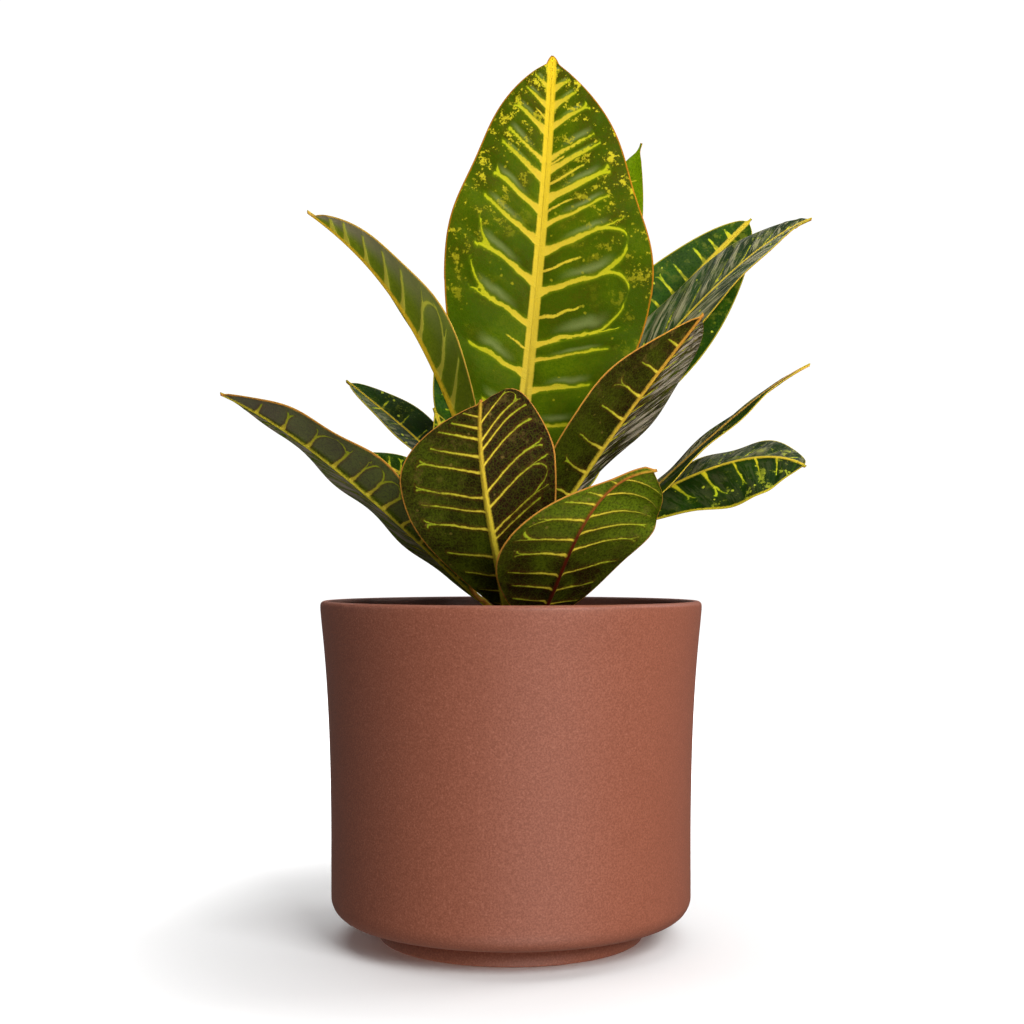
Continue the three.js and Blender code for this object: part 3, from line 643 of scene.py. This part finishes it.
            {"feet": (.15, .23, .305, .385, .49, .565, .64, .755, .86), "rise": (8, 42), "bend": 0.8, "end": 0.8,
             "width": 0.6, "forks": {4: (.7, .12), 5: (.66, .14), 6: (.7, .1)}, "widths": {0: .4, 8: .5}},
            {"feet": (.17, .25, .32, .385, .475, .54, .625, .70, .75, .83), "rise": (2, -24), "bend": 0.6,
             "end": 0.74, "width": 0.6, "loops": {5: (.55, .85)}, "forks": {4: (.6, .12)}, "widths": {0: .4, 9: .4}},
        ),
    },
    "leaf_left_inner": {
        "height": 146, "compass": 138, "third": (-10.5, 20, 178), "twoThirds": (-18.5, 29, 206), "tip": (-28, 34, 233),
        "stalk": 10, "halves": (14.5, 12), "faces": (-80, 15), "fold": 10, "wave": 0.5, "phase": 0.7,
        "finishes": ("dark", "olive"), "green": 0.5,
    },
    "leaf_left_young": {
        "height": 130, "compass": -140, "third": (-13.5, -13, 156), "twoThirds": (-21.5, -19, 175.5),
        "tip": (-27.5, -22, 192), "stalk": 8, "halves": 9, "faces": (-70, 20), "fold": 15,
        "wave": 0.3, "waves": 2, "phase": 0, "finishes": ("dark", "olive"), "green": 0.4,
    },
    "leaf_left_hidden": {
        "height": 122, "compass": 172, "third": (-20.5, -4, 152.5), "twoThirds": (-40, -5, 169),
        "tip": (-59.5, -6, 178), "stalk": 12, "halves": 11, "faces": (-60, 50), "fold": 10,
        "wave": 0.4, "waves": 2.5, "phase": 1.5, "green": 0.3,
    },
    # from here on, leaves that stand behind the others
    "leaf_rear_high": {
        "height": 139, "compass": 100, "third": (-10, 44, 180), "twoThirds": (-8, 78, 218), "tip": (-2, 108, 238),
        "stalk": 16, "halves": 22, "faces": (-90, 35), "fold": 12, "curl": -6, "wave": 0.9, "phase": 2,
        "finishes": ("bright", "olive"), "slot": "leaf_bright", "quilt": 0.6, "mottle": 0.5,
    },
    "leaf_rear_middle": {
        "height": 130, "compass": 72, "third": (9, 40, 156), "twoThirds": (18, 74, 182), "tip": (27, 104, 192),
        "stalk": 16, "halves": 23, "faces": (-100, 60), "widest": 0.52, "point": 0.9,
        "fold": 12, "curl": -8, "wave": 0.9, "phase": 0.9, "brown": 0.4,
    },
    "leaf_rear_left": {
        "height": 119, "compass": 118, "third": (-14, 36, 138), "twoThirds": (-21, 68, 160), "tip": (-25, 98, 170),
        "stalk": 12, "halves": 20, "faces": (-70, 65), "widest": 0.55, "point": 0.8,
        "fold": 10, "curl": -6, "phase": 1.7, "brown": 0.7,
    },
    "leaf_rear_right": {
        "height": 114, "compass": 45, "third": (18, 26, 130), "twoThirds": (32, 52, 150), "tip": (42, 80, 160),
        "stalk": 12, "halves": 20, "faces": (-130, 60), "widest": 0.55, "point": 0.8,
        "fold": 10, "curl": -6, "phase": 2.4, "brown": (0.5, 0.6),
    },
}


def direction(compass, slope=0):
    turn, tilt = math.radians(compass), math.radians(slope)
    return np.array([math.cos(turn) * math.cos(tilt), math.sin(turn) * math.cos(tilt), math.sin(tilt)])


def sided(value, side):
    return value[side] if isinstance(value, tuple) else value


def halfWidths(leaf, side, share):
    widest, base, point, half = (sided(leaf[key], side) for key in ("widest", "base", "point", "halves"))
    along = np.clip(share / (1 - leaf["nib"]), 0, 1)
    fill = np.sin(np.pi / 2 * np.minimum(1, along / widest)) ** base
    close = np.cos(np.pi / 2 * np.maximum(0, (along - widest) / (1 - widest))) ** point
    nib = leafShape["nibWidth"] * np.clip((1 - share) / (2 * leaf["nib"]), 0, 1) ** leaf["blunt"] * (share > 0.5)
    waistAt, waistDepth = leaf["waists"][side]
    waist = waistDepth * np.exp(-(((share - waistAt) / leafShape["waistSpread"]) ** 2))
    return half * np.hypot(np.where(along < widest, fill, close), nib) - waist


def midrib(leaf):  # the cubic through the stalk's foot, third, twoThirds and tip
    height = leaf["height"]
    atStem = float(stemRadius(height)) + stem["scarHeight"] + clearance
    foot = stemCentre(height) + direction(leaf["compass"]) * atStem
    third, twoThirds, tip = (np.array(leaf[key], float) for key in ("third", "twoThirds", "tip"))
    lower = -5 / 6 * foot + 3 * third - 1.5 * twoThirds + tip / 3
    upper = foot / 3 - 1.5 * third + 3 * twoThirds - 5 / 6 * tip

    def at(share):
        s = np.asarray(share, float)[:, None]
        point = (1 - s) ** 3 * foot + 3 * (1 - s) ** 2 * s * lower + 3 * (1 - s) * s ** 2 * upper + s ** 3 * tip
        along = (1 - s) ** 2 * (lower - foot) + 2 * (1 - s) * s * (upper - lower) + s ** 2 * (tip - upper)
        return point, unit(along)

    steps, _ = at(np.linspace(0, 1, 201))
    return at, float(np.linalg.norm(np.diff(steps, axis=0), axis=1).sum())


def stacked(shape, *layers):
    return np.stack([np.broadcast_to(layer, shape) for layer in layers], -1)


def veinFields(veins, length, half, along, out, outward, streaked):
    # where each point lies between the side veins, and how the nearest vein runs, forks and ends
    shape = leafShape
    spare = shape["spareVeins"]  # unseen veins before the first and after the last
    feet = np.array(veins["feet"], float)
    before = feet[0] - (feet[1] - feet[0]) * np.arange(spare, 0, -1)
    after = feet[-1] + (feet[-1] - feet[-2]) * np.arange(1, spare + 1)
    feet = np.concatenate([before, feet, after])
    turns = np.radians(np.interp(feet, (feet[spare], feet[-1 - spare]), veins["rise"]))
    lines = (feet * length)[:, None, None] + out * np.tan(turns)[:, None, None] + veins["bend"] * (out / half) ** 2
    below = np.clip((lines <= along).sum(0) - 1, 0, len(feet) - 2)
    low = np.take_along_axis(lines, below[None], 0)[0]
    high = np.take_along_axis(lines, below[None] + 1, 0)[0]
    between = np.clip((along - low) / (high - low), 0, 1)
    nearest = below + (between > 0.5)
    pitch = np.maximum(shape["leastPitch"], (high - low) * np.cos(turns[below]))
    forkAt = np.full(len(feet), np.nan)
    endAt = np.full(len(feet), veins["end"])
    endAt[::2] += shape["endStagger"]
    spread = np.zeros((len(feet), 2))  # towards the stalk and towards the tip
    width = np.full(len(feet), veins["width"])
    width[:spare] = width[-spare:] = 0
    for vein, (start, opening) in veins.get("forks", {}).items():
        forkAt[vein + spare], spread[vein + spare] = start, opening
        endAt[vein + spare] = max(endAt[vein + spare], start + shape["forkLength"])
    for vein, end in veins.get("ends", {}).items():
        endAt[vein + spare] = end
    for vein, wide in veins.get("widths", {}).items():
        width[vein + spare] = wide
    for vein, (start, end) in veins.get("loops", {}).items():  # joins this vein to the next
        for side, n in ((1, vein + spare), (0, vein + spare + 1)):
            forkAt[n], endAt[n], spread[n, side] = start, end, 0.5
    forkAt = np.where(np.isnan(forkAt), endAt - shape["plainFork"], forkAt)
    thin = np.zeros((len(feet), 2))  # width and end of a thin vein half way to the next
    for vein, (wide, end) in veins.get("thin", {}).items():
        thin[vein + spare] = wide, end
    tipward = (between <= 0.5).astype(int)
    fields = {
        "veinPlace": stacked(out.shape, below + between, outward, pitch),
        "veinForm": stacked(out.shape, forkAt[nearest], endAt[nearest], spread[nearest, tipward]),
        "veinLook": stacked(out.shape, width[nearest], half, veins.get("broken", 0.0)),
        "veinExtra": stacked(out.shape, *np.moveaxis(thin[below], -1, 0), streaked),
    }
    bulge = np.abs(np.sin(np.pi * (below + between))) ** shape["bulgePower"] - shape["bulgeMean"]
    return fields, bulge * np.minimum(1, pitch / shape["bulgePitch"])


def bladeHalf(leaf, side, shares, stalkShare, length, frames, centres):
    # one half from the midrib out: the points of its upper and lower face, and what the finish reads
    shape = leafShape
    blade = np.clip((shares - stalkShare) / (1 - stalkShare), 0, 1)[:, None]
    bladeLength = length * (1 - stalkShare)
    half, wave, lobes, quilt, veins, streaked = (
        sided(leaf[key], side) for key in ("halves", "wave", "lobes", "quilt", "veins", "streaked"))
    narrowest = np.where(shares <= stalkShare, shape["stalkHalfWidth"], shape["tipHalfWidth"])
    width = np.maximum(halfWidths(leaf, side, blade[:, 0]), narrowest)[:, None]
    rim = np.minimum(shape["rim"], shape["rimShare"] * width)
    steps = np.linspace(0, 1, shape["columns"] + 1)[None] ** shape["columnCrowding"]
    out = np.concatenate([steps * (width - rim), width - rim * np.array(shape["marginColumns"])], 1)
    share = out / width
    # form across: folded along the midrib, curled, wavy at the margin, thicker at the rib
    fold, curl = math.radians(leaf["fold"]), math.radians(leaf["curl"])
    if curl:
        offset = width / curl * (np.sin(fold + curl * share) - math.sin(fold))
        lift = width / curl * (math.cos(fold) - np.cos(fold + curl * share))
    else:
        offset, lift = out * math.cos(fold), out * math.sin(fold)
    ripple = np.sin(2 * np.pi * leaf["waves"] * blade + leaf["phase"] + side * shape["waveOffset"])
    lift = lift + wave * share ** 2 * ripple * np.minimum(1, width / half)
    lobe = lobes * blade ** shape["lobeSharpness"] * np.sin(np.pi * np.minimum(1, out / half))
    fields, bulge = veinFields(veins, bladeLength, half, blade * bladeLength, out, share, streaked)
    onBlade = smooth(blade, *shape["stalkEnd"])
    lift = lift + quilt * bulge * smooth(out, *shape["quiltFrom"]) * (1 - smooth(share, *shape["quiltTo"])) * onBlade
    stalkRound = (1 - onBlade) * np.sqrt(np.maximum(0, 1 - np.clip(share, 0, 1) ** 2))
    edge = np.sqrt(np.maximum(0, 1 - np.clip(1 - (width - out) / rim, 0, 1) ** 2))
    thick = shape["thickness"] / 2 * edge
    ribWidth = mixed(*shape["ribWidth"], blade)
    ribDepth = mixed(*shape["ribDepth"], blade) * onBlade * np.sqrt(np.maximum(0, 1 - (out / ribWidth) ** 2))
    grooveDepth, grooveWidth = shape["ribGroove"]
    ridge = np.exp(-((out / (shape["ribSpread"] * ribWidth)) ** 2))
    ridge = ridge - grooveDepth * np.exp(-((out / (grooveWidth * ribWidth)) ** 2))
    up = lift + thick + shape["ribRise"] * ridge * onBlade + shape["stalkRound"][0] * stalkRound
    down = lift - thick - ribDepth - shape["stalkRound"][1] * stalkRound
    along, sideways, normal = (rows[:, None] for rows in frames)
    base = centres[:, None] + along * lobe[..., None] + sideways * ((2 * side - 1) * offset)[..., None]
    margin = np.minimum(width - out, (1 - blade) * bladeLength)
    # brown is the leaf's own colour; paintedSheen is the amount of painted highlight
    brown, paintedSheen = (sided(leaf[tone], side) * mixed(*leaf[tone + "Run"], blade) for tone in ("brown", "paintedSheen"))
    ribBand, orange = (mixed(*leaf[tone], blade) for tone in ("ribBand", "orange"))
    fields["bladePlace"] = stacked(out.shape, out, margin / leaf["edge"], blade)
    fields["bladeTone"] = stacked(out.shape, brown, paintedSheen, leaf["green"])
    fields["ribTone"] = stacked(out.shape, ribBand, orange, leaf["mottle"])
    return base + normal * up[..., None], base + normal * down[..., None], fields


def bladeFaces(rows, columns):  # the mesh's faces, and for each 0 on top of the blade or 1 under it
    top = np.arange(rows * columns).reshape(rows, columns)
    under = top + rows * columns
    under[:, 0], under[:, -1] = top[:, 0], top[:, -1]  # both share the points of the margins and the tip
    under[-1] = top[-1]
    corners = [[grid[:-1, :-1], grid[:-1, 1:], grid[1:, 1:], grid[1:, :-1]] for grid in (top, under)]
    stalkEnd = np.stack([top[0, :-1], under[0, :-1], under[0, 1:], top[0, 1:]], -1)
    quads = [np.stack(corners[0], -1).reshape(-1, 4), np.stack(corners[1][::-1], -1).reshape(-1, 4), stalkEnd]
    faces = [tuple(dict.fromkeys(face)) for face in np.concatenate(quads).tolist()]
    sides = [0] * len(quads[0]) + [1] * (len(quads[1]) + len(stalkEnd))
    whole = [n for n, face in enumerate(faces) if len(face) > 2]
    return [faces[n] for n in whole], [sides[n] for n in whole]


def makeLeaf(name, leaf):
    at, length = midrib(leaf)
    stalkShare = leaf["stalk"] / length
    stalk = np.linspace(0, stalkShare, leafShape["stalkRows"], endpoint=False)
    even = np.linspace(0, 1, leafShape["bladeRows"])
    crowded = mixed(even, (1 - np.cos(np.pi * even)) / 2, leafShape["rowCrowding"])  # towards the blade's ends
    shares = np.concatenate([stalk, mixed(stalkShare, 1, crowded)])
    centres, along = at(shares)
    settled = smooth(shares, 0, stalkShare / 2)[:, None]  # 0 at the stem, where the leaf's foot is upright against it
    along = unit(mixed(direction(leaf["compass"])[None], along, settled))
    facing = mixed(np.array([[0, 0, 1.0]]), direction(*leaf["faces"])[None], settled)
    normal = unit(facing - along * (along * facing).sum(1, keepdims=True))
    frames = along, np.cross(along, normal), normal
    shares, centres, *frames = (np.concatenate([rows[:1], rows]) for rows in (shares, centres, *frames))
    centres[0] -= frames[0][0] * leafShape["intoStem"]
    halves = [bladeHalf(leaf, side, shares, stalkShare, length, frames, centres) for side in (0, 1)]

    def across(left, right):  # left margin to right margin, with the midrib once
        return np.concatenate([left[:, :0:-1], right], 1)

    upper, lower = (across(left, right) for left, right in list(zip(*halves))[:2])
    faces, sides = bladeFaces(*upper.shape[:2])
    points = np.concatenate([upper.reshape(-1, 3), lower.reshape(-1, 3)])
    fields = {key: np.tile(across(values, halves[1][2][key]).reshape(-1, 3), (2, 1))
              for key, values in halves[0][2].items()}
    materials = [leafFinishes[finish] for finish in leaf["finishes"]]
    made = meshObject(name.replace("leaf", "blade"), points, faces, materials, sides, fields)
    made.data.validate()
    standsFor(made, name, slot=leaf["slot"])


leafTexture = {  # sizes in mm; streaks is how often they repeat from vein to vein and from midrib to margin
    "grain": 0.8, "patch": 4.5, "wander": 9, "cloud": 24, "net": 2.3, "fineNet": 0.95, "specks": 5.5, "dust": 2.4,
    "streaks": (8, 3), "veinEdge": (-0.2, 0.3), "haloEdge": (-0.2, 1.3), "veinTaper": 0.62, "footFlare": (0.4, 3.2),
}

plainLook = {  # what a finish has that doesn't say otherwise
    "ribRed": shade(104, 38, 18), "groove": 0.0, "streaks": 1.0, "haloShare": 0.4, "ragged": 0.9, "rough": 0.44,
    # the paintedSheen keys place the painted highlights between the veins and from midrib to margin
    "paintedSheenTop": (0.5, 0.9), "paintedSheenAll": 0.4, "paintedSheenIn": (0.04, 0.2), "paintedSheenOut": (0.7, 1.4),
}
# in each look, paintedSheen is the colour of its painted highlights
leafLooks = {
    "bright": {
        "deep": shade(64, 94, 3), "fresh": shade(114, 144, 6), "brown": shade(78, 68, 10),
        "paintedSheen": shade(150, 162, 92), "vein": shade(236, 202, 58), "veinEnd": shade(196, 200, 26),
        "halo": shade(122, 142, 12), "rib": shade(214, 188, 68), "ribOrange": shade(255, 216, 36),
        "ribRed": shade(150, 60, 20), "margin": shade(190, 124, 24), "speck": shade(216, 200, 40), "specular": 0.012,
        "groove": 0.8, "net": 0.10, "specks": 0.4, "ragged": 1.6, "haloShare": 0.6, "streaks": 0.0, "rough": 0.3,
        "paintedSheenTop": (0.14, 0.36), "paintedSheenAll": 0.0, "paintedSheenIn": (0.14, 0.42), "paintedSheenOut": (0.5, 0.7),
    },
    "dark": {
        "deep": shade(14, 48, 6), "fresh": shade(58, 106, 10), "brown": shade(46, 44, 16),
        "paintedSheen": shade(166, 160, 120), "vein": shade(224, 208, 40), "veinEnd": shade(196, 212, 36),
        "halo": shade(62, 92, 18), "rib": shade(230, 206, 50), "ribOrange": shade(206, 150, 74),
        "margin": shade(190, 172, 40), "speck": shade(206, 214, 56), "specular": 0.035,
        "net": 0.06, "specks": 0.9, "ragged": 1.2, "haloShare": 0.6, "rough": 0.3,
    },
    "brown": {
        "deep": shade(28, 24, 5), "fresh": shade(108, 128, 18), "brown": shade(46, 21, 11),
        "paintedSheen": shade(166, 154, 134), "vein": shade(244, 216, 66), "veinEnd": shade(166, 186, 36),
        "halo": shade(112, 70, 22), "rib": shade(236, 222, 60), "ribOrange": shade(186, 108, 44),
        "ribRed": shade(92, 30, 16), "margin": shade(206, 140, 56), "speck": shade(170, 140, 70), "specular": 0.05,
        "net": 0.27, "specks": 0.3,
    },
    "olive": {
        "deep": shade(116, 142, 16), "fresh": shade(164, 186, 26), "brown": shade(110, 88, 62),
        "paintedSheen": shade(186, 172, 140), "vein": shade(250, 236, 84), "veinEnd": shade(236, 236, 84),
        "halo": shade(176, 192, 40), "rib": shade(255, 214, 44), "ribOrange": shade(250, 180, 60),
        "margin": shade(226, 178, 74), "speck": shade(190, 180, 80), "specular": 0.03,
        "net": 0.3, "specks": 0.2, "streaks": 0.5, "paintedSheenAll": 0.3, "paintedSheenIn": (0.25, 0.75), "paintedSheenOut": (1.2, 1.6),
    },
}


def leafFinish(name, look):
    finish = Finish(name + "_leaf", {"Specular IOR Level": look["specular"]})
    blend, rise, fall, sizes = finish.blend, finish.rise, finish.fall, leafTexture
    phase, outward, pitch = finish.field("veinPlace")
    forkAt, endAt, spread = finish.field("veinForm")
    width, half, broken = finish.field("veinLook")
    thinWidth, thinEnd, streaky = finish.field("veinExtra")
    reach, margin, along = finish.field("bladePlace")
    brown, paintedSheen, green = finish.field("bladeTone")
    ribHalf, orange, mottle = finish.field("ribTone")
    grain, patch = finish.noise(sizes["grain"], 3, 0.65), finish.noise(sizes["patch"], 3, 0.6)
    wander, cloud = finish.noise(sizes["wander"]), finish.noise(sizes["cloud"])
    grit, fray, drift = grain - 0.5, patch - 0.5, wander - 0.5  # to make edges uneven
    # side veins: gap is 0 on a vein and 0.5 half way to the next
    above = (phase + drift * 0.22).fraction()  # 0 on a vein, then up to 1 on the next towards the tip
    gap = 0.5 - (above - 0.5).magnitude()
    opened = ((outward - forkAt) / (endAt - forkAt)).held()
    slant = opened / (1.12 - opened * opened) ** 0.5 * spread * pitch / ((endAt - forkAt) * half)
    turned = 1 - (1.0 - opened * opened) ** 0.5  # a branch turns off in a quarter of an ellipse
    away = (gap - turned * spread).magnitude() * pitch / (slant * slant + 1) ** 0.5
    past = (outward - endAt - drift * 0.2).maths("MAXIMUM", 0.0) * half
    reached = (outward / endAt).held()
    distance = (away * away + past * past) ** 0.5 + grit * 0.5 + fray * reached * look["ragged"]
    flare, flareReach = sizes["footFlare"]
    size = width * (1.0 - reached * sizes["veinTaper"] + fall(reach - ribHalf, 0.0, flareReach) * flare)
    halo = fall(distance - size * 0.55, *sizes["haloEdge"])
    kept = 1 - rise(patch, 0.42, 0.56) * broken
    core = fall(distance - size * 0.5, *sizes["veinEdge"]) * kept * rise(width, 0.1, 0.3)
    thinSize = thinWidth * (1.0 - (outward / (thinEnd + 0.01)).held() * 0.5)
    thinCore = fall((0.5 - gap) * pitch + grit * 0.9 - thinSize * 0.5, -0.15, 0.3)
    thinCore = thinCore * rise(thinEnd - outward + fray * 0.4, 0.0, 0.06)
    core = core.maths("MAXIMUM", thinCore)
    mesh, fineMesh = (finish.cells(sizes[key], "DISTANCE_TO_EDGE") for key in ("net", "fineNet"))
    net = fall(fineMesh, 0.02, 0.16) * 0.6 + fall(mesh, 0.02, 0.1) * 0.5
    # ground
    ground = blend((rise(cloud + fray * 0.5, 0.32, 0.7) * 0.7 + green).held(), look["deep"], look["fresh"])
    ground = blend((brown * (0.55 + rise(wander, 0.3, 0.7) * 0.6)).held(), ground, look["brown"])
    ground = blend((net * look["net"] * (0.5 + grain)).held(), ground, look["fresh"])
    ground = blend(rise(grain, 0.42, 0.66) * 0.6, ground, look["deep"])
    # painted highlights: pale grey reflections laid into the colour in streaks beside the veins
    across, out = sizes["streaks"]
    course = finish.node("ShaderNodeCombineXYZ", values={0: phase * across, 1: outward * out, 2: cloud})
    streaks = finish.node("ShaderNodeTexNoise", values={"Vector": course, "Scale": 1, "Detail": 3, "Roughness": 0.6})
    band = rise(above, 0.06, 0.2) * fall(above, *look["paintedSheenTop"]) + look["paintedSheenAll"]
    streakShare = streaky * look["streaks"]
    streaked = rise(streaks + (cloud - 0.5) * 0.3, 0.42, 0.6) * streakShare + (1 - streakShare)
    paintedSheenMask = paintedSheen * ((band - 1) * streaky + 1) * streaked
    paintedSheenMask = paintedSheenMask * rise(outward, *look["paintedSheenIn"]) * fall(outward, *look["paintedSheenOut"])
    ground = blend(paintedSheenMask.held(), ground, look["paintedSheen"])
    colour = blend(halo * look["haloShare"] * kept, ground, look["halo"])
    # specks, blotches and dust towards the tip
    specks = fall(finish.cells(sizes["specks"]) + grit * 0.2, 0.06, 0.13) * look["specks"]
    blotch = rise(patch + grit * 0.45, 0.57, 0.66) * rise(along + outward * 0.35, 0.6, 1.1) * mottle
    dust = fall(finish.cells(sizes["dust"]) + grit * 0.3, 0.1, 0.2) * rise(patch, 0.42, 0.58)
    blotch = blotch + dust * rise(along + outward * 0.4, 0.65, 1.1) * mottle
    colour = blend((specks + blotch).held(), colour, look["speck"])
    # veins, midrib and margin on top
    veinColour = blend((reached * 1.1 - 0.1 + grit * 0.6).held(), look["vein"], look["veinEnd"])
    colour = blend(core, colour, veinColour)
    ribColour = blend((orange + grit * 0.5).held(), look["rib"], look["ribOrange"])
    ribColour = blend((orange - 1 + grit * 0.5).held(), ribColour, look["ribRed"])
    groove = fall(reach + grit * 0.5, 0.25, 0.75) * fall(along, 0.12, 0.42) * look["groove"]
    ribColour = blend(groove, ribColour, look["brown"])
    colour = blend(fall(reach - ribHalf + grit * 0.6, -0.4, 0.35), colour, ribColour)
    colour = blend(fall(margin + grit * 0.4, 0.25, 0.65), colour, look["margin"])
    relief = core * 0.10 + net * 0.05 + grain * 0.07 + patch * 0.18 + streaks * paintedSheen * 0.25
    return finish.feed(colour=colour, rough=look["rough"] + grit * 0.2, normal=finish.bump(relief))


leafFinishes = {name: leafFinish(name, {**plainLook, **look}) for name, look in leafLooks.items()}
for name, leaf in leaves.items():
    makeLeaf(name, {**plainLeaf, **leaf})
print("leaves done:", len(leaves))


# Floor, light and camera

studio = {  # in metres, but for the camera's
    "floor": shade(252, 252, 252), "floorNear": 0.1, "floorFar": 0.27, "backdrop": 1.05, "sky": 0.12,
    "key": {"place": (0.40, -0.68, 0.54), "size": 0.5, "power": 7.2},
    "side": {"place": (0.95, 0.34, 0.80), "size": 0.5, "power": 4.0},
    "fill": {"place": (-1.0, -0.1, 0.55), "size": 0.5, "power": 0.9},
    "bounce": {"place": (0.16, -0.55, -0.36), "size": 0.6, "power": 2.2, "aim": (0, 0, 0.2)},  # as from a white floor
    "overhead": {"place": (-0.02, 0.38, 1.1), "size": 1.3, "power": 9.5, "aim": (-0.05, 0.1, 0)},
    "cameraBack": 560, "cameraHeight": 136.8, "lens": 53.23, "shift": (0.001, 0.0498),
}


def stagePlane(name, place, tilt, finish):
    bpy.ops.mesh.primitive_plane_add(size=12, location=place, rotation=(tilt, 0, 0))
    plane = bpy.context.object
    plane.name = name
    plane.data.materials.append(finish.material)
    plane.visible_diffuse = plane.visible_glossy = False  # neither may wash out the plant's colours
    plane.visible_shadow = False  # the bounce light stands under the floor


def makeStage():
    white = Finish("white_floor", {"Base Color": studio["floor"], "Roughness": 0.9, "Specular IOR Level": 0.1,
                                   "Emission Strength": 1.0})
    distance = white.node("ShaderNodeVectorMath", {"operation": "LENGTH"}, {0: white.place}, 1)
    white.feed(glow=white.rise(distance, studio["floorNear"], studio["floorFar"]))  # so its far parts burn out
    stagePlane("floor", (0, 0, -0.0002), 0, white)
    glow = Finish("white_backdrop", {"Base Color": (0, 0, 0, 1), "Emission Color": (1, 1, 1, 1),
                                     "Emission Strength": studio["backdrop"]})
    stagePlane("backdrop", (0, 4, 0), math.pi / 2, glow)


def makeLight(name, place, size, power, aim=(0, 0, 0.14)):
    data = bpy.data.lights.new(name, "AREA")
    data.size, data.energy = size, power
    light = bpy.data.objects.new(name, data)
    light.location = place
    light.rotation_euler = (Vector(aim) - Vector(place)).to_track_quat("-Z", "Y").to_euler()
    bpy.context.scene.collection.objects.link(light)


def makeWorld():
    world = bpy.data.worlds.new("studio")
    world.use_nodes = True
    background = world.node_tree.nodes["Background"].inputs
    background["Color"].default_value, background["Strength"].default_value = (1, 1, 1, 1), studio["sky"]
    bpy.context.scene.world = world


def makeCamera():
    data = bpy.data.cameras.new("camera")
    data.lens, data.shift_x, data.shift_y = studio["lens"], *studio["shift"]
    camera = bpy.data.objects.new("camera", data)
    camera.location = (0, -studio["cameraBack"] * mm, studio["cameraHeight"] * mm)
    camera.rotation_euler = (math.pi / 2, 0, 0)
    bpy.context.scene.collection.objects.link(camera)
    bpy.context.scene.camera = camera


makeStage()
for name in ("key", "side", "fill", "bounce", "overhead"):
    makeLight(name, **studio[name])
makeWorld()
makeCamera()
bpy.context.scene.view_settings.view_transform = "Standard"
print("stage done")
